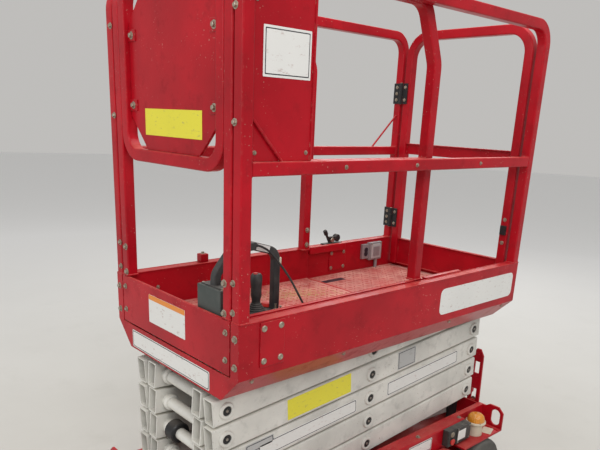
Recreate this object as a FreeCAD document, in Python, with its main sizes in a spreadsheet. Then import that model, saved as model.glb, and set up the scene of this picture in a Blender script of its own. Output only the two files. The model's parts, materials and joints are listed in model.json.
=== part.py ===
"""Slab scissor lift: chassis on four wheels, five-level scissor stack, platform with a roll-out extension.

Frame: origin on the ground under the middle of the machine, +X to the front (extension end),
+Y to the left side, +Z up, millimetres. The lift stands parked, stack folded, extension in.
"""
import FreeCAD, Part
import Sketcher
import math
import os

LEVELS = 5
SIDES = (("left", 1), ("right", -1))

# alias, value in millimetres, what it measures
SIZES = (
    # wheels and steering
    ("tyre_radius", 152.5, "solid tyre"),
    ("tyre_width", 90, "solid tyre"),
    ("tyre_shoulder", 12, "rounding of the tyre's edges"),
    ("tyre_proud", 5, "tyres outside the mudguards"),
    ("rim_radius", 96, "seat of the tyre"),
    ("rim_wall", 16, "rim from its seat to its disc"),
    ("rim_dish", 28, "hub face outside the wheel's middle"),
    ("hub_radius", 42, "wheel hub"),
    ("axle_radius", 20, "stub axle"),
    ("stub_length", 22, "stub axle past the wheel's middle"),
    ("wheel_gap", 6, "knuckle and drive hub from the tyre"),
    ("axle_setback", 175, "axles from the chassis ends"),
    ("kingpin_inset", 90, "kingpin axis inboard of the wheel's middle"),
    ("kingpin_radius", 14, "steering pin"),
    ("sleeve_wall", 9, "wall of the knuckle's sleeve"),
    ("sleeve_half", 50, "half height of the knuckle"),
    ("fork_plate", 14, "ears that hold the kingpin"),
    ("steer_arm", 80, "kingpin to tie rod"),
    ("steer_arm_plate", 12, "thickness of the steering arm"),
    ("tie_rod_radius", 10, "tie rod"),
    ("tie_pin_radius", 7, "pins at the tie rod's ends"),
    ("beam_half", 30, "half length of the front axle beam"),
    ("drive_half", 45, "half length of the rear drive housing"),
    ("drive_gap", 25, "rear drive housing from the tyres"),
    ("drive_hub_radius", 56, "hub of the rear drive"),
    # plates and fits
    ("running_fit", 0.05, "radial play of a pin in its hole"),
    ("seat_gap", 0.3, "between pieces that lie on each other"),
    ("sheet", 4, "folded sheet of trays and panels"),
    ("plate", 8, "chassis and bracket plate"),
    # scissor stack
    ("arm_length", 1378, "pin to pin"),
    ("arm_height", 92, "rectangular tube"),
    ("arm_width", 51, "rectangular tube"),
    ("arm_corner", 6, "corner radius of the arm tube"),
    ("arm_overhang", 50, "arm end beyond its pin"),
    ("short_overhang", 28, "the same at the platform's sliding pin"),
    ("arm_gap", 19, "between outer and inner arm"),
    ("row_gap", 8, "between folded rows"),
    ("stack_width", 478, "over the outer arms"),
    ("pin_radius", 16, "scissor pins"),
    ("pin_head_radius", 27, "pin head outside the outer arm"),
    ("pin_head", 8, "thickness of a pin head"),
    ("roller_radius", 20, "rollers at the sliding ends"),
    ("roller_width", 16, "rollers at the sliding ends"),
    ("roller_gap", 2, "roller from the wall beside it"),
    ("rail_play", 1, "roller from the rails that it runs on"),
    ("rail_strip", 8, "strip that a roller runs on"),
    ("strip_gap", 5, "strips outside the pin heads"),
    ("cross_tube_radius", 21, "tube between the inner arms"),
    ("collar_radius", 32, "collar on a cross tube"),
    ("collar_width", 10, "collar on a cross tube"),
    ("collar_inset", 14, "collar from the inner arm"),
    ("arm_clearance", 7, "lowest arms above the chassis floor, as they turn"),
    ("deck_clearance", 12, "highest arms below the deck floor, as they turn"),
    ("front_gap", 29.7, "lowest arms from the front plate"),
    ("rear_gap", 22, "lowest arms from the rear plate"),
    # lift cylinder
    ("barrel_radius", 38, "lift cylinder"),
    ("barrel_bore", 30, "radius inside the lift cylinder"),
    ("gland_length", 40, "gland of the lift cylinder"),
    ("gland_wall", 5, "gland outside the barrel"),
    ("rod_radius", 24, "lift cylinder rod"),
    ("rod_end_gap", 92, "rod end short of the upper pin axis"),
    ("rod_showing", 147, "rod outside the gland, with the end gap taken off"),
    ("cylinder_offset", 62, "lift cylinder to the right of the middle"),
    ("cylinder_eye_width", 50, "eyes of the lift cylinder"),
    ("eye_wall", 14, "lower eye round its cross tube"),
    # chassis
    ("arch_clearance", 7, "mudguards above the tyres"),
    ("stack_side_gap", 25, "trough wall from the outer arms"),
    ("trough_web", 26, "inner part of the trough's side wall"),
    ("side_box", 34, "outer part of the trough's side wall"),
    ("box_chamfer", 5, "upper outer edge of the side wall"),
    ("wall_rise", 90, "trough walls above the floor plate"),
    ("wall_pocket", 200, "outer part of the left wall short of the rear plate"),
    ("fender_width", 76, "mudguard outside the side wall"),
    ("fender_reach", 7.5, "mudguard past the tyre, along the machine"),
    ("front_lip_rise", 18, "front plate between the lugs, above the floor plate"),
    ("rear_lip_rise", 85, "rear plate between the lugs, above the floor plate"),
    ("ear_rise", 104, "corner lugs above the floor plate"),
    ("ear_round", 26, "upper outer corner of a lug"),
    ("ear_foot", 20, "slope from a lug down to the wall's top"),
    ("ear_hole_width", 46, "lashing hole in a corner lug"),
    ("ear_hole_height", 78, "lashing hole in a corner lug"),
    ("ear_hole_cover", 16, "lug above its hole"),
    ("skirt_drop", 70, "middle of the end plates below the floor plate"),
    ("bracket_gap", 4, "pivot bracket from the inner arm"),
    ("bracket_plate", 14, "pivot bracket"),
    ("bracket_half", 32, "half length of a pivot bracket"),
    ("bracket_rise", 26, "pivot bracket above its pin"),
    ("spine_inset", 10, "spine from the trays' inner edges"),
    ("spine_lift", 40, "spine above the trays' undersides"),
    ("beacon_radius", 46, "rim of the flashing beacon"),
    ("beacon_rise", 104, "top of the beacon above the floor plate"),
    ("beacon_setback", 66, "beacon behind the side wall's rear end"),
    ("beacon_side", 52, "beacon's axis from the trough's inner wall"),
    ("control_box_length", 160, "lower control box"),
    ("control_box_depth", 42, "lower control box"),
    # ladder
    ("ladder_rise", 350, "top of the ladder above the floor plate"),
    ("ladder_half_width", 262, "outer edge of the ladder"),
    ("ladder_rail", 68, "width of a ladder upright"),
    ("ladder_depth", 32, "ladder's steps behind the rear plate"),
    ("ladder_shoulder", 30, "tapered end of an upright"),
    ("step_height", 26, "ladder step"),
    ("step_rise", 30, "lower step above the rear plate's lip"),
    ("step_drop", 70, "upper step below the ladder's top"),
    ("step_lap", 14, "step over the uprights"),
    ("grip_width", 26, "hand hole in an upright"),
    ("grip_height", 60, "hand hole in an upright"),
    ("grip_drop", 63, "upper hand hole below the ladder's top"),
    ("grip_pitch", 138, "between the hand holes"),
    # swing-out trays
    ("tray_gap", 11.3, "tray from the steered tyre's sweep"),
    ("tray_depth", 188, "swing-out tray"),
    ("tray_lid_drop", 2, "tray below the top of the floor plate"),
    ("tray_bevel", 14, "bevel along the top of a tray cover"),
    ("tray_lid_gap", 6, "tray cover from the side wall"),
    ("tray_hinge_inset", 6, "tray hinge axis from the tray's front and outer faces"),
    ("tray_hinge_radius", 5, "tray hinge pin"),
    ("tray_inner", 150, "inner edge of a tray floor from the middle"),
    ("bulkhead_gap", 4, "bulkhead ahead of a tray"),
    ("bulkhead_plate", 6, "bulkhead"),
    ("lug_plate", 8, "lug of a tray hinge"),
    ("lug_gap", 1, "tray hinge lug from the tray"),
    ("lug_half", 12, "lug behind its pin"),
    ("battery_gap", 45, "battery block from the tray's ends"),
    ("pump_gap", 85, "pump and tank block from the tray's rear end"),
    ("pump_front_gap", 165.01, "the same from the tray's front end"),
    ("load_inner_gap", 45, "battery and pump blocks from the tray's inner edge"),
    ("load_outer_gap", 12, "the same from its outer face"),
    ("load_drop", 14, "the same below the chassis floor"),
    # platform
    ("pin_inset", 77, "rear pins ahead of the deck's rear end"),
    ("deck_gap", 20.6, "sliding arms from the deck's front plate"),
    ("bevel_gap", 19, "side bevel outside the trough wall"),
    ("bevel_in", 86, "side bevel, inwards"),
    ("bevel_down", 87, "side bevel, downwards"),
    ("panel_height", 172, "vertical side panel"),
    ("deck_wall", 38, "thickness of the deck's side wall"),
    ("deck_notch", 10, "step in the deck's front end for the toe board"),
    ("floor_rise", 30, "floor above the side panel's lower edge"),
    ("floor_plate", 5, "deck floor"),
    ("pad_length", 66, "wear pad under the roll-out deck"),
    ("pad_width", 40, "wear pad under the roll-out deck"),
    ("pad_inset", 10, "wear pad from the roll-out deck's edge"),
    ("pad_setback", 14, "wear pad from the deck's front end"),
    ("rail_height", 1100, "top rail above the floor"),
    ("mid_rail_height", 587, "top of the mid rail above the floor"),
    ("rail_tube", 38, "square guard rail tube"),
    ("rail_bend", 75, "bend of the rail tube on its centre line"),
    ("rail_inset", 21, "end posts' centre line from the deck's end"),
    ("document_length", 214, "sheet beside the front post"),
    ("cover_length", 92, "bolted cover on the left side panel"),
    ("cover_height", 139, "bolted cover on the left side panel"),
    ("cover_setback", 76, "bolted cover from the deck's front end"),
    ("cover_margin", 5, "bolted cover below the panel's top"),
    ("outlet_length", 135, "power outlet box"),
    ("outlet_height", 88, "power outlet box"),
    ("outlet_depth", 26, "power outlet box"),
    ("outlet_setback", 112, "power outlet box from the deck's rear end"),
    ("outlet_drop", 12, "power outlet box below the wall's top"),
    # gate
    ("gate_gap", 12, "latch leg from the guard rail's post"),
    ("gate_hinge_gap", 15, "hinge leg from the guard rail's post"),
    ("gate_bend", 95, "upper bends of the gate"),
    ("gate_drop", 2, "gate below the top rail"),
    ("gate_foot", 16, "gate above the floor"),
    ("gate_plate", 50, "middle plate of the gate"),
    ("gate_plate_drop", 31, "middle plate's lower edge below the mid rail's top"),
    ("toe_rise", 2, "toe plate above the side wall"),
    ("hinge_pin_radius", 4, "pins of the gate's hinges"),
    ("hinge_barrel", 9, "barrels of the gate's hinges"),
    ("hinge_leaf", 6, "leaves of the gate's hinges"),
    ("hinge_height", 92, "gate hinge"),
    ("hinge_reach", 10, "hinge axis inside the posts' inner faces"),
    ("hinge_side", 7, "hinge axis off the post's side face"),
    ("leaf_width", 34, "gate hinge leaf from its axis"),
    ("lower_hinge_rise", 57, "lower hinge above the side wall"),
    ("upper_hinge_drop", 315, "upper hinge's foot below the top rail"),
    # roll-out extension
    ("slide_gap", 6, "extension from the main frame"),
    ("slide_rise", 5, "roll-out deck above the main floor"),
    ("extension_length", 890, "roll-out deck"),
    ("extension_wall", 12, "side wall of the roll-out deck"),
    ("extension_post_back", 855, "rear post of the extension rail from the front"),
    ("kink_run", 84, "slope at the top of the rear post, along the machine"),
    ("kink_drop", 189, "slope at the top of the rear post, downwards"),
    ("front_post_inset", 2, "front posts behind the toe board's face"),
    ("loop_bend", 70, "corners of the front frame on its centre line"),
    ("loop_snip", 100, "corners cut off the front sheet as handholds"),
    # platform controller
    ("console_back", 322, "controller's rear end from the deck's front end"),
    ("console_front", 12, "controller's front end from the deck's front end"),
    ("console_width", 122, "controller"),
    ("console_side", 51, "controller from the extension's side wall"),
    ("console_height", 95, "controller's lower part"),
    ("console_head", 205, "controller's upright part"),
    ("console_head_length", 77, "controller's upright part"),
    ("hoop_tube", 26, "guard hoop of the controller"),
    ("hoop_bend", 40, "guard hoop of the controller"),
    ("hoop_height", 330, "guard hoop of the controller"),
    ("hoop_fall", 45, "slope of the hoop's top bar"),
    ("grip_radius", 19, "joystick grip"),
    ("boot_radius", 34, "joystick boot"),
    ("stick_setback", 130, "joystick ahead of the controller's rear end"),
    ("grip_length", 95, "joystick grip"),
    ("hoop_slope_drop", 90, "front slope of the hoop, downwards"),
    ("hoop_slope_run", 75, "the same along the machine"),
    ("hoop_rear", 55, "rear leg of the hoop from the controller's rear end"),
    ("shelf_slope", 25, "slope from the controller's upright part to its lower part"),
    ("nose_run", 40, "slope at the controller's rear end, along the machine"),
    ("nose_drop", 35, "the same downwards"),
    ("lead_setback", 173.933, "mouth of the lead's upper gland from the deck's front end"),
    ("lead_side", 24, "the same from the controller's middle"),
    ("lead_rise", 318.118, "the same above the roll-out deck"),
    ("lead_radius", 3.5, "controller's lead"),
    ("lead_gland", 7, "gland at each end of the lead"),
)

# controller's lead: x, y, z from the mouth of its upper gland to the gland on the roll-out deck
LEAD_ROUTE = (
    (0, 0, 0), (-33, 2, -10), (-73, 11, -54), (-116, 23, -112),
    (-148, 37, -176), (-178, 49, -234), (-192, 59, -274), (-192, 59, -306),
)

doc = FreeCAD.newDocument("scissor_lift")
sheet = doc.addObject("Spreadsheet::Sheet", "Sizes")
for row, (alias, number, meaning) in enumerate(SIZES, start=1):
    sheet.set("A%d" % row, meaning)
    sheet.set("B%d" % row, str(number))
    sheet.setAlias("B%d" % row, alias)
doc.recompute()


class Size:
    """A length together with the sheet formula that gives it."""

    def __init__(self, value, formula):
        self.value = value
        self.formula = formula

    def _with(self, other, sign, value):
        return Size(value, "(%s %s %s)" % (self.formula, sign, size(other).formula))

    def __add__(self, other):
        return self._with(other, "+", self.value + size(other).value)

    def __sub__(self, other):
        return self._with(other, "-", self.value - size(other).value)

    def __mul__(self, other):
        return self._with(other, "*", self.value * size(other).value)

    def __truediv__(self, other):
        return self._with(other, "/", self.value / size(other).value)

    def __radd__(self, other):
        return size(other) + self

    def __rsub__(self, other):
        return size(other) - self

    def __rmul__(self, other):
        return size(other) * self

    def __neg__(self):
        return size(0) - self


def size(number):
    """A plain number or a Size, as a Size."""
    if isinstance(number, Size):
        return number
    return Size(float(number), repr(float(number)))


def root(number):
    return Size(math.sqrt(number.value), "sqrt(%s)" % number.formula)


class Sheet:
    """Every alias of the sheet as an attribute."""


S = Sheet()
for alias, number, meaning in SIZES:
    setattr(S, alias, Size(float(sheet.get(alias)), "Sizes." + alias))

# Heights, from the ground up
chassis_floor = 2 * S.tyre_radius + S.arch_clearance
floor_top = chassis_floor + S.plate
half_height = S.arm_height / 2
arm_reach = root(S.arm_overhang * S.arm_overhang + half_height * half_height)
row_pitch = S.arm_height + S.row_gap
base_pin_z = floor_top + arm_reach + S.arm_clearance
top_pin_z = base_pin_z + LEVELS * row_pitch
floor_z = top_pin_z + arm_reach + S.deck_clearance + S.floor_plate
panel_z = floor_z - S.floor_rise
wall_top_z = panel_z + S.panel_height
rail_top_z = floor_z + S.rail_height
mid_rail_top_z = floor_z + S.mid_rail_height
trough_top = floor_top + S.wall_rise
rear_lip_top = floor_top + S.rear_lip_rise
roll_out_top_z = floor_z + S.slide_rise + S.floor_plate
tray_top = floor_top - S.tray_lid_drop
tray_bottom = tray_top - S.tray_depth

# Widths, from the middle outwards
outer_y = S.stack_width / 2
inner_y = outer_y - S.arm_width - S.arm_gap
tube_end_y = inner_y - S.arm_width
strip_y = outer_y + S.pin_head + S.strip_gap
trough_y = outer_y + S.stack_side_gap
roller_y = trough_y - S.roller_gap
web_y = trough_y + S.trough_web
wall_y = web_y + S.side_box
fender_y = wall_y + S.fender_width
wheel_y = fender_y + S.tyre_proud - S.tyre_width / 2
wheel_inner_y = wheel_y - S.tyre_width / 2
kingpin_y = wheel_y - S.kingpin_inset
bevel_y = trough_y + S.bevel_gap
deck_y = bevel_y + S.bevel_in
deck_inner_y = deck_y - S.deck_wall
rail_y = deck_y - S.rail_tube / 2
extension_y = deck_inner_y - S.slide_gap
extension_rail_y = extension_y - S.rail_tube / 2
spine_y = S.tray_inner - S.spine_inset

# Places along the machine
pin_span = root(S.arm_length * S.arm_length - row_pitch * row_pitch)
front_beyond = arm_reach + S.front_gap + S.plate
rear_beyond = arm_reach + S.rear_gap + S.plate + S.ladder_depth
front_end = (pin_span + front_beyond + rear_beyond) / 2
front_plate_x = front_end - S.plate
front_pin_x = front_end - front_beyond
rear_pin_x = front_pin_x - pin_span
rear_plate_x = rear_pin_x - arm_reach - S.rear_gap
ladder_x = rear_plate_x - S.plate
rear_end = ladder_x - S.ladder_depth
stack_mid_x = rear_pin_x + pin_span / 2
axle_x = front_end - S.axle_setback
fender_x = axle_x - S.tyre_radius - S.fender_reach
kingpin_to_edge = S.kingpin_inset + S.tyre_width / 2
tyre_sweep = root(S.tyre_radius * S.tyre_radius + kingpin_to_edge * kingpin_to_edge)
tray_x = axle_x - tyre_sweep - S.tray_gap
bulkhead_x = (tray_x + S.bulkhead_gap, tray_x + S.bulkhead_gap + S.bulkhead_plate)
tray_hinge_x = tray_x - S.tray_hinge_inset
tray_hinge_y = fender_y - S.tray_hinge_inset
deck_front = front_pin_x + S.short_overhang + S.deck_gap + S.sheet
deck_rear = rear_pin_x - S.pin_inset
front_post_x = deck_front - S.rail_inset
rear_post_x = deck_rear + S.rail_inset
extension_back = deck_front - S.extension_length
extension_front_x = deck_front - S.front_post_inset - S.rail_tube / 2
gate_axis_x = rear_post_x + S.rail_tube / 2 + S.hinge_reach
gate_axis_y = S.hinge_side - (rail_y - S.rail_tube / 2)
console_mid_y = extension_y - S.extension_wall - S.console_side - S.console_width / 2
lead_x = deck_front - S.lead_setback
lead_y = console_mid_y + S.lead_side
lead_z = roll_out_top_z + S.lead_rise
folded_tilt = math.degrees(math.asin(row_pitch.value / S.arm_length.value))
parts = []


def pin_height(level):
    """Height of the pins between level and level + 1, counted from the platform down."""
    return base_pin_z + (LEVELS - level) * row_pitch


def bind(thing, prop, length):
    thing.setExpression(prop, size(length).formula)


def place(thing, at, turn=None):
    """Puts a thing at a point given by three sizes, after an optional turn."""
    if turn is not None:
        thing.Placement = FreeCAD.Placement(FreeCAD.Vector(), turn)
    for axis, length in zip("xyz", at):
        bind(thing, ".Placement.Base." + axis, length)


def turn_about(axis, degrees):
    direction = {"x": (1, 0, 0), "y": (0, 1, 0), "z": (0, 0, 1)}[axis]
    return FreeCAD.Rotation(FreeCAD.Vector(*direction), degrees)


def block(name, xs, ys, zs):
    """A box between two planes in each direction."""
    solid = doc.addObject("Part::Box", name)
    low = []
    for prop, span in zip(("Length", "Width", "Height"), (xs, ys, zs)):
        first, last = sorted((size(span[0]), size(span[1])), key=lambda item: item.value)
        bind(solid, prop, last - first)
        low.append(first)
    place(solid, low)
    return solid


def rod(name, axis, radius, span, at):
    """A cylinder along an axis between two planes; at holds its two other coordinates."""
    first, last = sorted((size(span[0]), size(span[1])), key=lambda item: item.value)
    solid = doc.addObject("Part::Cylinder", name)
    bind(solid, "Radius", radius)
    bind(solid, "Height", last - first)
    order = {"x": (first, at[0], at[1]), "y": (at[0], first, at[1]), "z": (at[0], at[1], first)}
    turns = {"x": turn_about("y", 90), "y": turn_about("x", -90), "z": turn_about("z", 0)}
    place(solid, order[axis], turns[axis])
    return solid


def fuse(name, solids):
    joined = doc.addObject("Part::MultiFuse", name)
    joined.Shapes = solids
    joined.Refine = True
    return joined


def cut(name, base, tools):
    tool = tools[0] if len(tools) == 1 else fuse(name + "_tools", tools)
    rest = doc.addObject("Part::Cut", name)
    rest.Base = base
    rest.Tool = tool
    rest.Refine = True
    return rest


def group(name, solids):
    """Solids that share a sub-part without touching."""
    together = doc.addObject("Part::Compound", name)
    together.Links = solids
    return together


def part(label, solid):
    """Names a finished sub-part; its label is its file name."""
    solid.Label = label
    parts.append(solid)
    return solid


def origin_plane(body, role):
    return next(item for item in body.Origin.OriginFeatures if item.Role == role)


def closed_sketch(body, plane, points):
    """A polygon on one of the body's planes, each corner tied to the sheet."""
    sketch = body.newObject("Sketcher::SketchObject", body.Name + "_outline")
    sketch.AttachmentSupport = [(origin_plane(body, plane), "")]
    sketch.MapMode = "FlatFace"
    corners = [FreeCAD.Vector(size(u).value, size(v).value, 0) for u, v in points]
    count = len(corners)
    for index in range(count):
        sketch.addGeometry(Part.LineSegment(corners[index], corners[(index + 1) % count]), False)
    for index in range(count):
        sketch.addConstraint(Sketcher.Constraint("Coincident", index, 2, (index + 1) % count, 1))
    for index, (u, v) in enumerate(points):
        for kind, length in (("DistanceX", size(u)), ("DistanceY", size(v))):
            number = sketch.addConstraint(Sketcher.Constraint(kind, -1, 1, index, 1, length.value))
            sketch.setExpression("Constraints[%d]" % number, length.formula)
    return sketch


def profile(name, plane, points, span):
    """A padded polygon; span gives the two planes that it lies between."""
    body = doc.addObject("PartDesign::Body", name)
    sketch = closed_sketch(body, plane, points)
    pad = body.newObject("PartDesign::Pad", name + "_pad")
    pad.Profile = sketch
    first, last = size(span[0]), size(span[1])
    bind(pad, "Length", last - first)
    pad.Midplane = True
    middle = (first + last) / 2
    at = {"XY_Plane": (0, 0, middle), "XZ_Plane": (0, middle, 0), "YZ_Plane": (middle, 0, 0)}
    place(body, at[plane])
    return body


def bent_path(name, plane, points, bend):
    """Straight runs joined by arcs of one radius, in the XZ or YZ plane; corners tied to the sheet."""
    sketch = doc.addObject("Sketcher::SketchObject", name)
    turns = {"XZ": FreeCAD.Rotation(FreeCAD.Vector(1, 0, 0), 90),
             "YZ": FreeCAD.Rotation(FreeCAD.Vector(1, 1, 1), 120)}
    sketch.Placement = FreeCAD.Placement(FreeCAD.Vector(), turns[plane])
    corners = [FreeCAD.Vector(size(u).value, size(v).value, 0) for u, v in points]
    radius = size(bend).value
    ends = [corners[0]]
    arcs = []
    for before, corner, after in zip(corners, corners[1:], corners[2:]):
        inward = (before - corner).normalize()
        outward = (after - corner).normalize()
        half = inward.getAngle(outward) / 2
        reach = radius / math.tan(half)
        start = corner + inward * reach
        stop = corner + outward * reach
        middle = corner + (inward + outward).normalize() * (radius / math.sin(half) - radius)
        ends.extend((start, stop))
        arcs.append((start, middle, stop))
    ends.append(corners[-1])
    lines = [sketch.addGeometry(Part.LineSegment(a, b), False) for a, b in zip(ends[::2], ends[1::2])]
    for index, (start, middle, stop) in enumerate(arcs):
        arc = sketch.addGeometry(Part.Arc(start, middle, stop), False)
        counter = sketch.Geometry[arc].StartPoint.distanceToPoint(start) < 0.01
        near, far = (1, 2) if counter else (2, 1)
        sketch.addConstraint(Sketcher.Constraint("Tangent", lines[index], 2, arc, near))
        sketch.addConstraint(Sketcher.Constraint("Tangent", lines[index + 1], 1, arc, far))
        number = sketch.addConstraint(Sketcher.Constraint("Radius", arc, radius))
        sketch.setExpression("Constraints[%d]" % number, size(bend).formula)
    fixed = [(lines[0], 1, points[0]), (lines[-1], 2, points[-1])]
    for index, point in enumerate(points[1:-1]):
        mark = sketch.addGeometry(Part.Point(corners[index + 1]), True)
        sketch.addConstraint(Sketcher.Constraint("PointOnObject", mark, 1, lines[index]))
        sketch.addConstraint(Sketcher.Constraint("PointOnObject", mark, 1, lines[index + 1]))
        fixed.append((mark, 1, point))
    for geometry, spot, (u, v) in fixed:
        for kind, length in (("DistanceX", size(u)), ("DistanceY", size(v))):
            number = sketch.addConstraint(Sketcher.Constraint(kind, -1, 1, geometry, spot, length.value))
            sketch.setExpression("Constraints[%d]" % number, length.formula)
    return sketch


def bent_tube(name, plane, points, bend, width, across):
    """A square tube that starts upright and turns left along its path; across places its plane."""
    path = bent_path(name + "_path", plane, points, bend)
    section = doc.addObject("Part::Plane", name + "_section")
    bind(section, "Length", width)
    bind(section, "Width", width)
    u, v = points[0]
    start = {"XZ": (size(u) - width / 2, -(width / 2), v), "YZ": (-(width / 2), size(u) - width / 2, v)}
    place(section, start[plane])
    tube = doc.addObject("Part::Sweep", name)
    tube.Sections = [section]
    tube.Spine = (path, [])
    tube.Solid = True
    tube.Frenet = False
    tube.Transition = "Right corner"
    place(tube, {"XZ": (0, across, 0), "YZ": (across, 0, 0)}[plane])
    return tube


def arm_tube(name, side, outside, front_overhang):
    """One rectangular arm tube in the arm's own frame, its outer face at the given distance."""
    tube = block(name + "_tube", (-(half_arm + S.arm_overhang), half_arm + front_overhang),
                 (side * outside, side * (outside - S.arm_width)), (-half_height, half_height))
    rounded = doc.addObject("Part::Fillet", name)
    rounded.Base = tube
    radius = S.arm_corner.value
    rounded.Edges = [(edge, radius, radius) for edge in (9, 10, 11, 12)]
    return rounded


# Scissor stack
half_arm = S.arm_length / 2
hole_radius = S.pin_radius + S.running_fit
pin_end_y = tube_end_y + 1


def rollers(name, level, tilt, from_y):
    """Pins and rollers at the ends of a level's sliding arms."""
    ends = []
    for side_name, side in SIDES:
        ends.append(fuse("%s_%s" % (name, side_name), [
            rod("%s_pin_%s" % (name, side_name), "y", S.pin_radius, (side * from_y, side * roller_y),
                (half_arm, 0)),
            rod("%s_wheel_%s" % (name, side_name), "y", S.roller_radius,
                (side * (roller_y - S.roller_width), side * roller_y), (half_arm, 0))]))
    both = group(name, ends)
    place(both, (stack_mid_x, 0, pin_height(level) + row_pitch / 2), turn_about("y", tilt))
    part(name, both)


def outer_frame(level):
    """Both outer arms of a level with the pins that they carry."""
    solids = []
    inside = outer_y - S.arm_width
    for side_name, side in SIDES:
        name = "outer%d_%s" % (level, side_name)
        solids.append(arm_tube(name, side, outer_y, S.arm_overhang))
        for spot, along in (("front", half_arm), ("middle", size(0)), ("rear", -half_arm)):
            pin_name = "%s_%s_pin" % (name, spot)
            if level == LEVELS and spot == "front":
                continue
            if level == 1 and spot == "rear":
                solids.append(rod(pin_name, "y", S.pin_radius, (side * inside, side * roller_y), (along, 0)))
            else:
                head_y = outer_y + S.pin_head
                solids.append(rod(pin_name, "y", S.pin_radius, (side * pin_end_y, side * (head_y - 1)),
                                  (along, 0)))
                solids.append(rod(pin_name + "_head", "y", S.pin_head_radius,
                                  (side * (outer_y - 1), side * head_y), (along, 0)))
    if level == LEVELS:
        solids.append(rod("outer_base_tube", "y", S.cross_tube_radius, (-inside, inside), (half_arm, 0)))
    frame = fuse("outer_arms_%d" % level, solids)
    place(frame, (stack_mid_x, 0, pin_height(level) + row_pitch / 2), turn_about("y", folded_tilt))
    return part("outer_arms_%d" % level, frame)


def inner_frame(level):
    """Both inner arms of a level with their cross tubes and collars."""
    solids = []
    holes = []
    overhang = S.short_overhang if level == 1 else S.arm_overhang
    for side_name, side in SIDES:
        name = "inner%d_%s" % (level, side_name)
        solids.append(arm_tube(name, side, inner_y, overhang))
        for spot, along in (("front", half_arm), ("middle", size(0)), ("rear", -half_arm)):
            if level > 1 or spot != "front":
                holes.append(rod("%s_%s_hole" % (name, spot), "y", hole_radius,
                                 (side * (tube_end_y - 2), side * (inner_y + 2)), (along, 0)))
    extras = [cut("inner_arms_%d_bored" % level, fuse("inner_arms_%d_blank" % level, solids), holes)]
    for spot, along in (("front", half_arm), ("rear", -half_arm)):
        extras.append(rod("inner%d_%s_cross" % (level, spot), "y", S.cross_tube_radius,
                          (-tube_end_y, tube_end_y), (along, 0)))
    if level in (3, 5):
        collar_y = tube_end_y - S.collar_inset
        for side_name, side in SIDES:
            extras.append(rod("inner%d_collar_%s" % (level, side_name), "y", S.collar_radius,
                              (side * collar_y, side * (collar_y - S.collar_width)), (half_arm, 0)))
    if level == 4:
        extras.append(rod("upper_cylinder_eye", "y", S.barrel_radius,
                          (-S.cylinder_offset - eye_half, eye_half - S.cylinder_offset), (half_arm, 0)))
    frame = fuse("inner_arms_%d" % level, extras)
    place(frame, (stack_mid_x, 0, pin_height(level) + row_pitch / 2), turn_about("y", -folded_tilt))
    return part("inner_arms_%d" % level, frame)


# Lift cylinder, from the lowest rear cross tube to the third front cross tube
eye_half = S.cylinder_eye_width / 2
cylinder_rise = 2 * row_pitch
cylinder_length = root(pin_span * pin_span + cylinder_rise * cylinder_rise)
cylinder_tilt = math.degrees(math.atan2(cylinder_rise.value, pin_span.value))


def lift_cylinder():
    eye_radius = S.cross_tube_radius + S.eye_wall
    rod_end = cylinder_length - S.rod_end_gap
    barrel_end = rod_end - S.rod_showing
    gland_start = barrel_end - S.gland_length
    bore_start = eye_radius + 20
    piston_start = bore_start + 10
    solids = [rod("barrel_eye", "y", eye_radius, (-eye_half, eye_half), (0, 0)),
              rod("barrel_tube", "x", S.barrel_radius, (eye_radius - 8, barrel_end), (0, 0)),
              rod("barrel_gland", "x", S.barrel_radius + S.gland_wall, (gland_start, barrel_end), (0, 0))]
    holes = [rod("barrel_eye_bore", "y", S.cross_tube_radius + S.running_fit,
                 (-eye_half - 1, eye_half + 1), (0, 0)),
             rod("barrel_hollow", "x", S.barrel_bore, (bore_start, gland_start), (0, 0)),
             rod("barrel_gland_bore", "x", S.rod_radius + S.running_fit,
                 (bore_start, barrel_end + 1), (0, 0))]
    barrel = cut("cylinder_barrel", fuse("barrel_blank", solids), holes)
    stem = fuse("cylinder_rod", [
        rod("rod_stem", "x", S.rod_radius, (piston_start, rod_end), (0, 0)),
        rod("rod_piston", "x", S.barrel_bore - S.running_fit, (piston_start, piston_start + 40), (0, 0))])
    for piece in (barrel, stem):
        place(piece, (rear_pin_x, -S.cylinder_offset, base_pin_z), turn_about("y", -cylinder_tilt))
        part(piece.Name, piece)


for level in range(1, LEVELS + 1):
    outer_frame(level)
    inner_frame(level)
rollers("upper_rollers", 1, -folded_tilt, inner_y)
rollers("lower_rollers", LEVELS, folded_tilt, outer_y)
lift_cylinder()


# Chassis
def end_plate(name, x_inner, x_outer, lip_top):
    """A full-width end plate with a lashing lug at each corner."""
    ear_top = floor_top + S.ear_rise
    ear_y = wall_y + 2
    skirt = chassis_floor - S.skirt_drop
    half = [(S.tray_inner, skirt), (S.tray_inner, chassis_floor), (fender_y, chassis_floor),
            (fender_y, ear_top - S.ear_round), (fender_y - S.ear_round, ear_top), (ear_y, ear_top),
            (ear_y - S.ear_foot, trough_top), (trough_y, trough_top), (trough_y, lip_top)]
    outline = half + [(-u, v) for u, v in reversed(half)]
    body = profile(name + "_body", "YZ_Plane", outline, (x_inner, x_outer))
    through = (x_inner - 1, x_outer + 1)
    hole_radius_y = S.ear_hole_width / 2
    hole_y = (fender_y + ear_y) / 2
    high = ear_top - S.ear_hole_cover - hole_radius_y
    low = high + S.ear_hole_width - S.ear_hole_height
    holes = []
    for side_name, side in SIDES:
        for spot, height in (("low", low), ("high", high)):
            holes.append(rod("%s_%s_%s" % (name, side_name, spot), "x", hole_radius_y, through,
                             (side * hole_y, height)))
        holes.append(block("%s_%s_slot" % (name, side_name), through,
                           (side * hole_y - hole_radius_y, side * hole_y + hole_radius_y), (low, high)))
    part(name, cut(name, body, holes))


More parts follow.
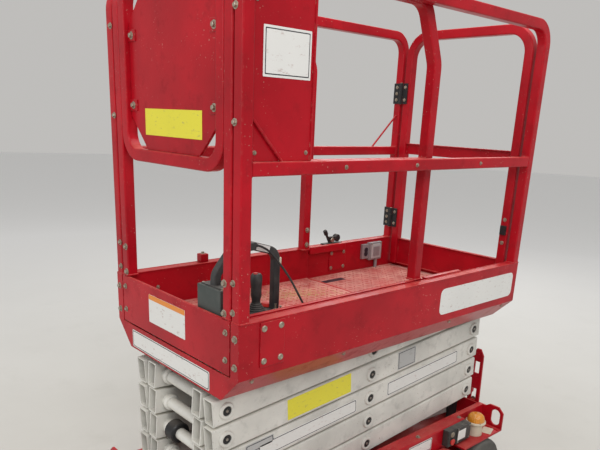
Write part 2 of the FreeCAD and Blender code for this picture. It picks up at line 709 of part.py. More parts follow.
def pair(name, maker):
    """Left and right copies that share a sub-part without touching."""
    part(name, group(name, [maker(side_name, side) for side_name, side in SIDES]))


def trough_webs(side_name, side):
    return block("trough_web_" + side_name, (rear_plate_x, front_plate_x),
                 (side * trough_y, side * web_y), (floor_top, trough_top))


def side_boxes(side_name, side):
    rear = rear_plate_x + S.wall_pocket if side > 0 else rear_plate_x
    return profile("side_box_" + side_name, "YZ_Plane",
                   [(side * web_y, floor_top), (side * wall_y, floor_top),
                    (side * wall_y, trough_top - S.box_chamfer),
                    (side * (wall_y - S.box_chamfer), trough_top), (side * web_y, trough_top)],
                   (rear, front_plate_x))


def mudguards():
    plates = []
    for side_name, side in SIDES:
        for end_name, ends in (("front", (fender_x, front_plate_x)), ("rear", (rear_plate_x, -fender_x))):
            plates.append(block("mudguard_%s_%s" % (end_name, side_name), ends,
                                (side * wall_y, side * fender_y), (chassis_floor, floor_top)))
    part("mudguards", group("mudguards", plates))


def roller_rails(side_name, side):
    """Strip that a lower roller runs on."""
    top = base_pin_z - S.roller_radius - S.rail_play
    return block("roller_rail_" + side_name, (0, front_plate_x), (side * strip_y, side * trough_y),
                 (top - S.rail_strip, top))


def pivot_brackets(side_name, side):
    """Plate and pin of the lowest rear pivot."""
    near = inner_y + S.bracket_gap
    far = near + S.bracket_plate
    return fuse("pivot_bracket_" + side_name, [
        block("pivot_plate_" + side_name, (rear_pin_x - S.bracket_half, rear_pin_x + S.bracket_half),
              (side * near, side * far), (floor_top, base_pin_z + S.bracket_rise)),
        rod("pivot_pin_" + side_name, "y", S.pin_radius, (side * pin_end_y, side * (far + S.roller_gap)),
            (rear_pin_x, base_pin_z))])


def bulkheads(side_name, side):
    """Plate ahead of a tray, with the lugs of the tray's hinge."""
    low = tray_bottom - S.lug_gap - S.lug_plate
    high = tray_top + S.lug_gap
    lug_y = tray_hinge_y - S.lug_half - S.bulkhead_gap
    plate = profile("bulkhead_plate_" + side_name, "YZ_Plane",
                    [(side * spine_y, low), (side * fender_y, low), (side * fender_y, high + S.lug_plate),
                     (side * lug_y, high + S.lug_plate), (side * lug_y, chassis_floor),
                     (side * spine_y, chassis_floor)], bulkhead_x)
    solids = [plate]
    bores = []
    for spot, height in (("low", low), ("high", high)):
        solids.append(block("lug_%s_%s" % (spot, side_name), (tray_hinge_x - S.lug_half, bulkhead_x[1]),
                            (side * lug_y, side * fender_y), (height, height + S.lug_plate)))
        bores.append(rod("lug_bore_%s_%s" % (spot, side_name), "z", S.tray_hinge_radius + S.running_fit,
                         (height - 1, height + S.lug_plate + 1), (tray_hinge_x, side * tray_hinge_y)))
    return cut("bulkhead_" + side_name, fuse("bulkhead_blank_" + side_name, solids), bores)


def chassis():
    end_plate("front_plate", front_plate_x, front_end, floor_top + S.front_lip_rise)
    end_plate("rear_plate", ladder_x, rear_plate_x, rear_lip_top)
    part("floor_plate", block("floor_plate", (rear_plate_x, front_plate_x), (-wall_y, wall_y),
                              (chassis_floor, floor_top)))
    part("spine", block("spine", (-fender_x, fender_x), (-spine_y, spine_y),
                        (tray_bottom + S.spine_lift, chassis_floor)))
    for name, maker in (("trough_webs", trough_webs), ("side_boxes", side_boxes),
                        ("roller_rails", roller_rails), ("pivot_brackets", pivot_brackets),
                        ("bulkheads", bulkheads)):
        pair(name, maker)
    mudguards()


# Axles, steering and wheels
knuckle_low = S.tyre_radius - S.sleeve_half
knuckle_high = S.tyre_radius + S.sleeve_half - 2
fork_low = knuckle_low - S.fork_plate - 4
fork_high = knuckle_high + 4


def axles():
    beam_y = kingpin_y - 48
    solids = [block("front_beam", (axle_x - S.beam_half, axle_x + S.beam_half), (-beam_y, beam_y),
                    (fork_high, chassis_floor))]
    holes = []
    ear_x = (axle_x - S.beam_half + 4, axle_x + S.beam_half - 4)
    for side_name, side in SIDES:
        for spot, low in (("upper", fork_high), ("lower", fork_low)):
            solids.append(block("fork_%s_%s" % (spot, side_name), ear_x,
                                (side * (beam_y - 1), side * (kingpin_y + 20)), (low, low + S.fork_plate)))
        solids.append(block("fork_web_" + side_name, ear_x, (side * (beam_y - 12), side * beam_y),
                            (fork_low, fork_high + S.fork_plate)))
        holes.append(rod("fork_hole_" + side_name, "z", S.kingpin_radius + S.running_fit,
                         (fork_low - 2, fork_high + S.fork_plate + 2), (axle_x, side * kingpin_y)))
    part("front_axle", cut("front_axle", fuse("front_axle_blank", solids), holes))
    housing_y = wheel_inner_y - S.drive_gap
    hub_end = wheel_inner_y - S.wheel_gap
    solids = [block("rear_beam", (-axle_x - S.drive_half, -axle_x + S.drive_half), (-housing_y, housing_y),
                    (S.tyre_radius - 55, chassis_floor))]
    for side_name, side in SIDES:
        solids.append(rod("drive_hub_" + side_name, "y", S.drive_hub_radius,
                          (side * (housing_y - 1), side * hub_end), (-axle_x, S.tyre_radius)))
        solids.append(rod("rear_stub_" + side_name, "y", S.axle_radius,
                          (side * (hub_end - 1), side * (wheel_y + S.stub_length)), (-axle_x, S.tyre_radius)))
    part("rear_axle", fuse("rear_axle", solids))


def knuckle(side_name, side):
    face = wheel_inner_y - S.wheel_gap
    upright = (knuckle_low, knuckle_high)
    sleeve_radius = S.kingpin_radius + S.sleeve_wall
    spot = (axle_x, side * kingpin_y)
    arm_y = (side * kingpin_y - 14, side * kingpin_y + 14)
    solids = [rod("kingpin_" + side_name, "z", S.kingpin_radius, (fork_low, fork_high + S.fork_plate), spot),
              rod("knuckle_sleeve_" + side_name, "z", sleeve_radius,
                  (knuckle_low - 3, knuckle_high + 3), spot),
              block("knuckle_block_" + side_name, (axle_x - 32, axle_x + 32),
                    (side * (kingpin_y + sleeve_radius + 3), side * face), upright),
              block("knuckle_neck_" + side_name, (axle_x - 18, axle_x + 18),
                    (side * kingpin_y, side * (kingpin_y + sleeve_radius + 7)), upright),
              rod("knuckle_stub_" + side_name, "y", S.axle_radius,
                  (side * (face - 2), side * (wheel_y + S.stub_length)), (axle_x, S.tyre_radius)),
              block("steer_arm_" + side_name, (axle_x - S.steer_arm - 16, axle_x), arm_y,
                    (knuckle_low, knuckle_low + S.steer_arm_plate))]
    pin_hole = rod("steer_arm_hole_" + side_name, "z", S.tie_pin_radius + S.running_fit,
                   (knuckle_low - 1, knuckle_low + S.steer_arm_plate + 1), (axle_x - S.steer_arm, spot[1]))
    name = side_name + "_knuckle"
    part(name, cut(name, fuse("knuckle_blank_" + side_name, solids), [pin_hole]))


def tie_rod():
    height = knuckle_low - S.tie_rod_radius - 6
    x = axle_x - S.steer_arm
    solids = [rod("tie_bar", "y", S.tie_rod_radius, (-kingpin_y, kingpin_y), (x, height))]
    for side_name, side in SIDES:
        spot = (x, side * kingpin_y)
        solids.append(rod("tie_end_" + side_name, "z", S.tie_rod_radius + 5,
                          (height - S.tie_rod_radius - 3, knuckle_low - S.seat_gap), spot))
        solids.append(rod("tie_pin_" + side_name, "z", S.tie_pin_radius,
                          (height, knuckle_low + S.steer_arm_plate + 6), spot))
    part("tie_rod", fuse("tie_rod", solids))


def revolved(name, outline, at):
    """A body turned about Y from half its section."""
    body = doc.addObject("PartDesign::Body", name + "_body")
    ring = body.newObject("PartDesign::Revolution", name + "_ring")
    ring.Profile = closed_sketch(body, "XY_Plane", outline)
    ring.ReferenceAxis = (origin_plane(body, "Y_Axis"), [""])
    ring.Angle = 360
    place(body, at)
    part(name, body)


def wheel(corner, side, x):
    """Solid tyre and its rim."""
    half = S.tyre_width / 2
    shoulder = S.tyre_shoulder
    at = (x, side * wheel_y, S.tyre_radius)
    flank = [(S.tyre_radius - shoulder, half), (S.tyre_radius - shoulder / 4, half - shoulder * 3 / 4),
             (S.tyre_radius, half - shoulder * 3 / 2)]
    revolved(corner + "_tyre", [(S.rim_radius, -half + S.sheet), (S.rim_radius, half - S.sheet)] + flank
             + [(u, -v) for u, v in reversed(flank)], at)
    bore = S.axle_radius + S.running_fit
    dish = S.rim_dish * side
    seat = S.rim_radius - S.seat_gap
    bead = (half - S.sheet) * side
    disc = S.rim_radius - S.rim_wall
    revolved(corner + "_rim", [
        (bore, -half * side), (bore, dish), (S.hub_radius, dish), (S.hub_radius, 6 * side), (disc, 6 * side),
        (disc + 6, bead), (seat, bead), (seat, -bead), (disc + 4, -bead), (disc - 2, -10 * side),
        (S.hub_radius + 8, -10 * side), (S.hub_radius + 8, -half * side)], at)


chassis()
axles()
tie_rod()
for side_name, side in SIDES:
    knuckle(side_name, side)
    wheel("front_" + side_name, side, axle_x)
    wheel("rear_" + side_name, side, -axle_x)


def ladder():
    top = floor_top + S.ladder_rise
    foot = chassis_floor + 20
    inside = S.ladder_half_width - S.ladder_rail
    shoulder = top - S.ladder_shoulder
    through = (ladder_x - S.plate, ladder_x)
    solids = []
    holes = []
    for side_name, side in SIDES:
        solids.append(profile("ladder_rail_" + side_name, "YZ_Plane",
                              [(side * inside, foot), (side * S.ladder_half_width, foot),
                               (side * (S.ladder_half_width - 8), shoulder),
                               (side * (S.ladder_half_width - 26), top), (side * (inside + 22), top),
                               (side * (inside + 6), shoulder)], through))
        hole_y = side * (S.ladder_half_width - S.ladder_rail / 2)
        for spot, drop in (("high", S.grip_drop), ("low", S.grip_drop + S.grip_pitch)):
            holes.append(block("ladder_grip_%s_%s" % (spot, side_name), (through[0] - 1, through[1] + 1),
                               (hole_y - S.grip_width / 2, hole_y + S.grip_width / 2),
                               (top - drop - S.grip_height, top - drop)))
    steps = [cut("ladder_uprights", fuse("ladder_uprights_blank", solids), holes)]
    step_y = inside + S.step_lap
    for spot, low in (("lower", rear_lip_top + S.step_rise), ("upper", top - S.step_drop)):
        steps.append(block("ladder_step_" + spot, (rear_end, through[0] + 1), (-step_y, step_y),
                           (low, low + S.step_height)))
    part("ladder", fuse("ladder", steps))


def tray(side_name, side):
    """Swing-out tray: bent cover, floor and ends, open towards the machine."""
    skin = S.sheet
    lid_y = wall_y + S.tray_lid_gap
    inner = S.tray_inner
    bend = S.tray_bevel
    cover = profile("tray_cover_" + side_name, "YZ_Plane",
                    [(side * inner, tray_bottom), (side * fender_y, tray_bottom),
                     (side * fender_y, tray_top - bend), (side * (fender_y - bend), tray_top),
                     (side * lid_y, tray_top), (side * lid_y, tray_top - skin),
                     (side * (fender_y - bend - 2), tray_top - skin),
                     (side * (fender_y - skin), tray_top - bend - 2),
                     (side * (fender_y - skin), tray_bottom + skin), (side * inner, tray_bottom + skin)],
                    (-tray_x, tray_x))
    pin_over = S.lug_gap + S.lug_plate
    solids = [cover, rod("tray_pin_" + side_name, "z", S.tray_hinge_radius,
                         (tray_bottom - pin_over, tray_top + pin_over), (tray_hinge_x, side * tray_hinge_y))]
    end_y = fender_y - 1
    for spot, low in (("rear", -tray_x), ("front", tray_x - skin)):
        solids.append(profile("tray_end_%s_%s" % (spot, side_name), "YZ_Plane",
                              [(side * inner, tray_bottom), (side * end_y, tray_bottom),
                               (side * end_y, tray_top - bend), (side * (fender_y - bend), tray_top - 1),
                               (side * lid_y, tray_top - 1), (side * lid_y, chassis_floor - S.plate),
                               (side * inner, chassis_floor - S.plate)], (low, low + skin)))
    part(side_name + "_tray", fuse(side_name + "_tray", solids))


def tray_loads():
    heights = (tray_bottom + S.sheet + S.seat_gap, chassis_floor - S.load_drop)
    near = S.tray_inner + S.load_inner_gap
    far = fender_y - S.load_outer_gap
    battery_x = tray_x - S.battery_gap
    part("battery_block", block("battery_block", (-battery_x, battery_x), (near, far), heights))
    part("hydraulic_block", block("hydraulic_block", (S.pump_gap - tray_x, tray_x - S.pump_front_gap),
                                  (-near, -far), heights))


def chassis_fittings():
    """Flashing beacon and the lower control box on the left side."""
    pocket_x = rear_plate_x + S.wall_pocket
    spot = (pocket_x - S.beacon_setback, trough_y + S.trough_web + S.beacon_side)
    lens_radius = S.beacon_radius - 6
    rim_z = floor_top + 60
    lens_z = rim_z + S.plate
    dome_z = floor_top + S.beacon_rise - lens_radius / 2
    dome = doc.addObject("Part::Ellipsoid", "beacon_dome")
    bind(dome, "Radius1", lens_radius / 2)
    bind(dome, "Radius2", lens_radius)
    dome.Angle1 = 0
    place(dome, (spot[0], spot[1], dome_z))
    part("beacon", fuse("beacon", [
        rod("beacon_base", "z", S.beacon_radius - 12, (floor_top + S.seat_gap, rim_z + 1), spot),
        rod("beacon_rim", "z", S.beacon_radius, (rim_z, lens_z), spot),
        rod("beacon_lens", "z", lens_radius, (lens_z - 1, dome_z), spot), dome]))
    box_x = pocket_x + 5
    part("control_box", block("control_box", (box_x, box_x + S.control_box_length),
                              (wall_y + S.seat_gap, wall_y + S.control_box_depth),
                              (floor_top + 10, trough_top - 2)))


ladder()
for side_name, side in SIDES:
    tray(side_name, side)
tray_loads()
chassis_fittings()


# Platform
def platform_deck():
    bottom = panel_z - S.bevel_down
    underside = floor_z - S.floor_plate
    section = [(bevel_y, bottom), (deck_y, panel_z), (deck_y, wall_top_z), (deck_inner_y, wall_top_z),
               (deck_inner_y, floor_z)]
    section += [(-u, v) for u, v in reversed(section)]
    section += [(-bevel_y, underside), (bevel_y, underside)]
    trough = profile("deck_section", "YZ_Plane", section, (deck_rear, deck_front))
    notch = block("deck_front_notch", (deck_front - S.deck_notch, deck_front + 1),
                  (-deck_inner_y, deck_inner_y), (panel_z, wall_top_z + 1))
    solids = [cut("deck_notched", trough, [notch])]
    for spot, low in (("front", deck_front - S.sheet), ("rear", deck_rear)):
        solids.append(profile("deck_%s_plate" % spot, "YZ_Plane",
                              [(-bevel_y, bottom), (bevel_y, bottom), (bevel_y + 1, panel_z - 2),
                               (bevel_y, panel_z - 1), (-bevel_y, panel_z - 1), (-bevel_y - 1, panel_z - 2)],
                              (low, low + S.sheet)))
    pad_y = extension_y - S.pad_inset
    pad_x = deck_front - S.pad_setback
    for side_name, side in SIDES:
        solids.append(block("deck_pad_" + side_name, (pad_x - S.pad_length, pad_x),
                            (side * (pad_y - S.pad_width), side * pad_y),
                            (floor_z - 1, floor_z + S.slide_rise - S.seat_gap)))
    part("platform_deck", fuse("platform_deck", solids))


def deck_runners():
    """Strips for the upper rollers and the brackets of the upper rear pins."""
    reach = S.roller_radius + S.rail_play
    solids = []
    for side_name, side in SIDES:
        across = (side * strip_y, side * bevel_y)
        for spot, low in (("under", top_pin_z - reach - S.rail_strip), ("over", top_pin_z + reach)):
            solids.append(block("runner_%s_%s" % (spot, side_name), (0, deck_front - S.sheet), across,
                                (low, low + S.rail_strip)))
        bracket = block("deck_bracket_" + side_name,
                        (rear_pin_x - S.bracket_half, rear_pin_x + S.bracket_half),
                        across, (top_pin_z - S.bracket_rise, floor_z - S.floor_plate))
        bore = rod("deck_pin_bore_" + side_name, "y", hole_radius,
                   (side * (strip_y - 1), side * (trough_y + 1)), (rear_pin_x, top_pin_z))
        solids.append(cut("deck_bracket_bored_" + side_name, bracket, [bore]))
    part("deck_runners", group("deck_runners", solids))


def guard_rail(side_name, side):
    top = rail_top_z - S.rail_tube / 2
    frame = bent_tube("guard_%s_frame" % side_name, "XZ",
                      [(front_post_x, wall_top_z), (front_post_x, top), (rear_post_x, top),
                       (rear_post_x, wall_top_z)], S.rail_bend, S.rail_tube, side * rail_y)
    mid = block("guard_%s_mid" % side_name, (rear_post_x, front_post_x),
                (side * (rail_y - S.rail_tube / 2), side * deck_y),
                (mid_rail_top_z - S.rail_tube, mid_rail_top_z))
    part(side_name + "_guard_rail", fuse(side_name + "_guard_rail", [frame, mid]))


def document_panel():
    """Sheet between the left rails beside the front post, cut where the tube bends."""
    edge = front_post_x - S.rail_tube / 2 - S.seat_gap
    low = mid_rail_top_z + S.seat_gap
    high = rail_top_z - S.rail_tube - S.seat_gap
    snip = S.rail_bend - S.rail_tube / 2
    part("document_panel", profile("document_panel", "XZ_Plane",
                                   [(edge - S.document_length, low), (edge, low), (edge, high - snip),
                                    (edge - snip, high), (edge - S.document_length, high)],
                                   (rail_y - S.sheet / 2, rail_y + S.sheet / 2)))


def side_fittings():
    """Bolted cover outside the left panel and the power outlet inside the right wall."""
    cover_x = deck_front - S.cover_setback
    cover_top = wall_top_z - S.cover_margin
    part("side_cover", block("side_cover", (cover_x - S.cover_length, cover_x), (deck_y, deck_y + S.sheet),
                             (cover_top - S.cover_height, cover_top)))
    outlet_x = deck_rear + S.outlet_setback
    outlet_y = S.seat_gap - deck_inner_y
    outlet_top = wall_top_z - S.outlet_drop
    part("outlet_box", block("outlet_box", (outlet_x, outlet_x + S.outlet_length),
                             (outlet_y, outlet_y + S.outlet_depth),
                             (outlet_top - S.outlet_height, outlet_top)))


def gate():
    """Entry gate with its middle and toe plates, hinged to the right rear post."""
    foot = floor_z + S.gate_foot
    top = rail_top_z - S.gate_drop - S.rail_tube / 2
    near = rail_y - S.rail_tube - S.gate_gap
    far = S.rail_tube + S.gate_hinge_gap - rail_y
    frame = bent_tube("gate_frame", "YZ", [(near, foot), (near, top), (far, top), (far, foot)],
                      S.gate_bend, S.rail_tube, rear_post_x)
    plate_x = (rear_post_x - S.sheet / 2, rear_post_x + S.sheet / 2)
    plate_low = mid_rail_top_z - S.gate_plate_drop
    solids = [frame,
              block("gate_mid_plate", plate_x, (far, near), (plate_low, plate_low + S.gate_plate)),
              block("gate_toe_plate", plate_x, (far, near), (foot, wall_top_z + S.toe_rise))]
    holes = []
    hinges = []
    axis = (gate_axis_x, gate_axis_y)
    post_face = rear_post_x + S.rail_tube / 2
    leaf_x = (post_face + S.seat_gap, post_face + S.seat_gap + S.hinge_leaf)
    third = S.hinge_height / 3
    clear = S.hinge_barrel + 0.5
    for spot, low in (("lower", wall_top_z + S.lower_hinge_rise),
                      ("upper", rail_top_z - S.upper_hinge_drop)):
        high = low + S.hinge_height
        middle = (low + third + S.seat_gap, high - third - S.seat_gap)
        solids += [block("gate_leaf_" + spot, (post_face - 1, leaf_x[1]),
                         (gate_axis_y + clear, gate_axis_y + S.leaf_width), (low, high)),
                   block("gate_tongue_" + spot, leaf_x, (gate_axis_y, gate_axis_y + clear + 1), middle),
                   rod("gate_barrel_" + spot, "z", S.hinge_barrel, middle, axis)]
        holes.append(rod("gate_bore_" + spot, "z", S.hinge_pin_radius + S.running_fit,
                         (low - 1, high + 1), axis))
        post_leaf = [block("post_leaf_" + spot, leaf_x, (gate_axis_y - clear, -deck_y), (low, high)),
                     rod("post_hinge_pin_" + spot, "z", S.hinge_pin_radius, (low, high), axis)]
        for end, span in (("under", (low, low + third)), ("over", (high - third, high))):
            post_leaf += [block("post_tongue_%s_%s" % (spot, end), leaf_x,
                                (gate_axis_y - clear - 1, gate_axis_y), span),
                          rod("post_barrel_%s_%s" % (spot, end), "z", S.hinge_barrel, span, axis)]
        hinges.append(fuse("post_hinge_" + spot, post_leaf))
    part("entry_gate", cut("entry_gate", fuse("entry_gate_blank", solids), holes))
    part("gate_hinges", group("gate_hinges", hinges))


# Roll-out extension
def extension_deck():
    low = floor_z + S.slide_rise
    front = deck_front - S.slide_gap
    solids = [block("extension_floor", (extension_back, front), (-extension_y, extension_y),
                    (low, roll_out_top_z)),
              block("extension_toe", (deck_front - S.sheet, deck_front), (-extension_y, extension_y),
                    (panel_z + S.slide_rise, wall_top_z)),
              block("extension_toe_web", (front - 1, deck_front), (1 - extension_y, extension_y - 1),
                    (low, roll_out_top_z + 1))]
    pad_y = extension_y - S.pad_inset
    for side_name, side in SIDES:
        solids.append(block("extension_wall_" + side_name, (extension_back, deck_front - 1),
                            (side * (extension_y - S.extension_wall), side * extension_y),
                            (low, wall_top_z + S.sheet)))
        solids.append(block("extension_pad_" + side_name,
                            (extension_back + 4, extension_back + 4 + S.pad_length),
                            (side * (pad_y - S.pad_width), side * pad_y), (floor_z + S.seat_gap, low + 1)))
    x, y, z = LEAD_ROUTE[-1]
    solids.append(rod("lead_floor_gland", "z", S.lead_gland, (roll_out_top_z - 1, lead_z + z),
                      (lead_x + x, lead_y + y)))
    part("extension_deck", fuse("extension_deck", solids))


def extension_rails():
    """Left and right rails of the roll-out deck; the rear post's top slopes forward."""
    foot = wall_top_z + S.sheet + S.seat_gap
    back = deck_front - S.extension_post_back
    top = rail_top_z - S.rail_tube / 2
    half = S.rail_tube / 2

    def rail(side_name, side):
        frame = bent_tube("extension_%s_frame" % side_name, "XZ",
                          [(extension_front_x, foot), (extension_front_x, top), (back + S.kink_run, top),
                           (back, top - S.kink_drop), (back, foot)],
                          S.rail_bend, S.rail_tube, side * extension_rail_y)
        mid = block("extension_%s_mid" % side_name, (back, extension_front_x),
                    (side * (extension_rail_y - half), side * (extension_rail_y + half)),
                    (mid_rail_top_z - S.rail_tube, mid_rail_top_z))
        return fuse("extension_rail_" + side_name, [frame, mid])

    pair("extension_rails", rail)


def front_frame():
    """Closed tube loop across the front with its sheet, corners cut for handholds."""
    half = S.rail_tube / 2
    reach = extension_y - S.rail_tube - half - S.seat_gap
    low = mid_rail_top_z - half
    top = rail_top_z - half
    middle = (low + top) / 2
    bows = [bent_tube("front_bow_" + spot, "YZ",
                      [(start, middle), (start, height), (-start, height), (-start, middle)],
                      S.loop_bend, S.rail_tube, extension_front_x)
            for spot, start, height in (("upper", reach, top), ("lower", -reach, low))]
    part("front_frame", fuse("front_frame", bows))
    edge = reach - half - S.seat_gap
    base = low + half + S.seat_gap
    crown = top - half - S.seat_gap
    snip = S.loop_snip
    part("front_sheet", profile("front_sheet", "YZ_Plane",
                                [(-edge + snip, base), (edge - snip, base), (edge, base + snip),
                                 (edge, crown - snip), (edge - snip, crown), (-edge + snip, crown),
                                 (-edge, crown - snip), (-edge, base + snip)],
                                (extension_front_x - S.sheet / 2, extension_front_x + S.sheet / 2)))


def controller():
    """Platform controller: console, guard hoop, joystick and the gland of its lead."""
    low = roll_out_top_z + S.seat_gap
    shelf = low + S.console_height
    back = deck_front - S.console_back
    front = deck_front - S.console_front
    outside = console_mid_y + S.console_width / 2
    inside = console_mid_y - S.console_width / 2
    head = front - S.console_head_length
    console = profile("console", "XZ_Plane",
                      [(back, low), (front, low), (front, low + S.console_head), (head, low + S.console_head),
                       (head - S.shelf_slope, shelf), (back + S.nose_run, shelf), (back, shelf - S.nose_drop)],
                      (inside, outside))
    hoop_x = front - S.hoop_tube
    crown_x = hoop_x - S.hoop_slope_run
    rear_x = back + S.hoop_rear
    crown = low + S.hoop_height
    hoop = bent_tube("console_hoop", "XZ",
                     [(hoop_x, low + S.console_head - 5), (hoop_x, crown - S.hoop_slope_drop), (crown_x, crown),
                      (rear_x, crown - S.hoop_fall), (rear_x, shelf - 5)], S.hoop_bend, S.hoop_tube,
                     console_mid_y)
    stick = (back + S.stick_setback, console_mid_y)
    boot = doc.addObject("Part::Cone", "joystick_boot")
    bind(boot, "Radius1", S.boot_radius)
    bind(boot, "Radius2", S.grip_radius - 4)
    bind(boot, "Height", S.boot_radius)
    place(boot, (stick[0], stick[1], shelf - 1))
    grip_z = shelf + S.boot_radius - 2
    part("controller", fuse("controller", [
        console, hoop, boot,
        rod("joystick_grip", "z", S.grip_radius, (grip_z, grip_z + S.grip_length), stick),
        block("lead_boss", (lead_x + 12, lead_x + 36), (console_mid_y, lead_y + 12),
              (lead_z - 12, lead_z + 12)),
        rod("lead_upper_gland", "x", S.lead_gland, (lead_x, lead_x + 13), (lead_y, lead_z))]))


def controller_lead():
    """Lead from the controller's boss to the gland on the floor: straight runs and tangent arcs."""
    mouth = FreeCAD.Vector(lead_x.value, lead_y.value, lead_z.value)
    corners = [mouth + FreeCAD.Vector(*point) for point in LEAD_ROUTE]
    edges = []
    start = corners[0]
    for before, corner, after in zip(corners, corners[1:], corners[2:]):
        inward = before - corner
        outward = after - corner
        reach = 0.45 * min(inward.Length, outward.Length)
        inward.normalize()
        outward.normalize()
        half = inward.getAngle(outward) / 2
        radius = reach * math.tan(half)
        bisector = (inward + outward).normalize()
        middle = corner + bisector * (radius / math.sin(half) - radius)
        first = corner + inward * reach
        last = corner + outward * reach
        edges += [Part.LineSegment(start, first).toShape(), Part.Arc(first, middle, last).toShape()]
        start = last
        print("lead radius %.0f" % radius)
    edges.append(Part.LineSegment(start, corners[-1]).toShape())
    path = Part.Wire(edges)
    radius = S.lead_radius.value
    ring = Part.Wire([Part.makeCircle(radius, corners[0], corners[1] - corners[0])])
    tube = path.makePipeShell([ring], True, False)
    print("lead length %.1f, volume over section %.1f" % (path.Length, tube.Volume / (math.pi * radius ** 2)))
    lead = doc.addObject("Part::Feature", "controller_lead")
    lead.Shape = tube
    part("controller_lead", lead)


platform_deck()
deck_runners()
for side_name, side in SIDES:
    guard_rail(side_name, side)
document_panel()
side_fittings()
gate()
extension_deck()
extension_rails()
front_frame()
controller()
controller_lead()

doc.recompute()
faults = [thing.Name for thing in doc.Objects if "Invalid" in thing.State or "Error" in thing.State]
for solid in parts:
    if solid.Shape.isNull() or not solid.Shape.isValid() or not solid.Shape.Solids:
        faults.append(solid.Label)
if faults:
    raise RuntimeError("not built: " + ", ".join(faults))
os.makedirs("parts", exist_ok=True)
for solid in parts:
    solid.Shape.exportStep("parts/%s.step" % solid.Label)
print(len(parts), "sub-parts written")
print("folded tilt %.4f deg, cylinder tilt %.4f deg" % (folded_tilt, cylinder_tilt))
for place_name, length in (("front pins x", front_pin_x), ("rear pins x", rear_pin_x),
                           ("base pins z", base_pin_z), ("axles x", axle_x),
                           ("kingpins y", kingpin_y), ("wheels y", wheel_y),
                           ("tray hinges x", tray_hinge_x), ("tray hinges y", tray_hinge_y),
                           ("gate axis x", gate_axis_x), ("gate axis y", gate_axis_y), ("floor z", floor_z),
                           ("front end x", front_end)):
    print("%s %.4f" % (place_name, length.value))
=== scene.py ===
"""Slab scissor lift: camera, studio, procedural materials and detailed pieces over the CAD frame.

Metres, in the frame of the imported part: +X front (roll-out end), +Y left, +Z up, ground at z 0.
"""

import bmesh
import bpy
import json
import math
import random
from mathutils import Matrix, Vector


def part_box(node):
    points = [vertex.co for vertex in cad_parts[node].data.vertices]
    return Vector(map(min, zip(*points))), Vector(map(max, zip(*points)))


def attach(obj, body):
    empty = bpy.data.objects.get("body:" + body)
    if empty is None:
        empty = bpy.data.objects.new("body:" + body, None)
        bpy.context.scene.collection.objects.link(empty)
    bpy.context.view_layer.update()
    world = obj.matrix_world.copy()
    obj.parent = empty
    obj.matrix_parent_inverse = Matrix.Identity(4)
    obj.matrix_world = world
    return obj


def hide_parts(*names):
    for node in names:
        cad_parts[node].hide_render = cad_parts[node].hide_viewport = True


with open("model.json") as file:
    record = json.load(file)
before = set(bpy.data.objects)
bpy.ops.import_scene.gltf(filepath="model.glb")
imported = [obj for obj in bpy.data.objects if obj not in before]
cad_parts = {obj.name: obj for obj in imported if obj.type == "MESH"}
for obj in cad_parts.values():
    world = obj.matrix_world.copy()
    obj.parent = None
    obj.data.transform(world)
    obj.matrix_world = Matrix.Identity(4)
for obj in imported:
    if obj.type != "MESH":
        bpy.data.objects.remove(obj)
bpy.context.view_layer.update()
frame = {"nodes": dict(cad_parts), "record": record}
dice = random.Random(7)
SIDES = (("left", 1), ("right", -1))
LEVELS = range(1, 6)

# Places that the pieces share
HALF_ARM = 0.689
PITCH = 0.1
BASE_PIN_Z = 0.394941
STACK_X = 0.01215
TILT = math.asin(PITCH / (2 * HALF_ARM))
OUTER_Y = 0.239
INNER_Y = 0.169
ARM_WIDTH = 0.051
TUBE_END_Y = 0.118
FLOOR_TOP = 0.320
TROUGH_TOP = 0.410
FRONT_END = 0.804975
LADDER_X = -0.772975
AXLE_X = 0.629975
TYRE_RADIUS = 0.1525
DECK_FRONT = 0.751933
DECK_REAR = -0.752033
DECK_FLOOR = 0.979882
ROLL_OUT_TOP = 0.989882
PANEL_Z = 0.949882
WALL_TOP = 1.121882
MID_RAIL = 1.566882
RAIL_TOP = 2.079882
TUBE = 0.038
RAIL_Y = 0.350
EXTENSION_Y = 0.306
FRONT_POST = 0.730933
REAR_POST = -0.731033
LEAD = ((0.578, 0.225, 1.308), (0.545, 0.227, 1.298), (0.505, 0.236, 1.254), (0.462, 0.248, 1.196),
        (0.430, 0.262, 1.132), (0.400, 0.274, 1.074), (0.386, 0.284, 1.034), (0.386, 0.284, 1.002))


def make_camera():
    """The photograph's view: 600 x 450 pixels, focal length 620.3 pixels, centre at (297.9, 312.2)."""
    yaw, pitch, roll = 0.8311, -0.3043, 0.0425
    forward = Vector((-math.cos(pitch) * math.cos(yaw), -math.cos(pitch) * math.sin(yaw), math.sin(pitch)))
    level = Vector((-math.sin(yaw), math.cos(yaw), 0))
    above = level.cross(forward)
    right = level * math.cos(roll) + above * math.sin(roll)
    up = above * math.cos(roll) - level * math.sin(roll)
    data = bpy.data.cameras.new("camera")
    data.sensor_width = 36
    data.lens = 620.3 / 600 * 36
    data.shift_x = (300 - 297.9) / 600
    data.shift_y = (312.2 - 225) / 600
    camera = bpy.data.objects.new("camera", data)
    bpy.context.scene.collection.objects.link(camera)
    turn = Matrix((right, up, -forward)).transposed().to_4x4()
    camera.matrix_world = Matrix.Translation((1.7339, 1.6871, 1.6844)) @ turn
    bpy.context.scene.camera = camera


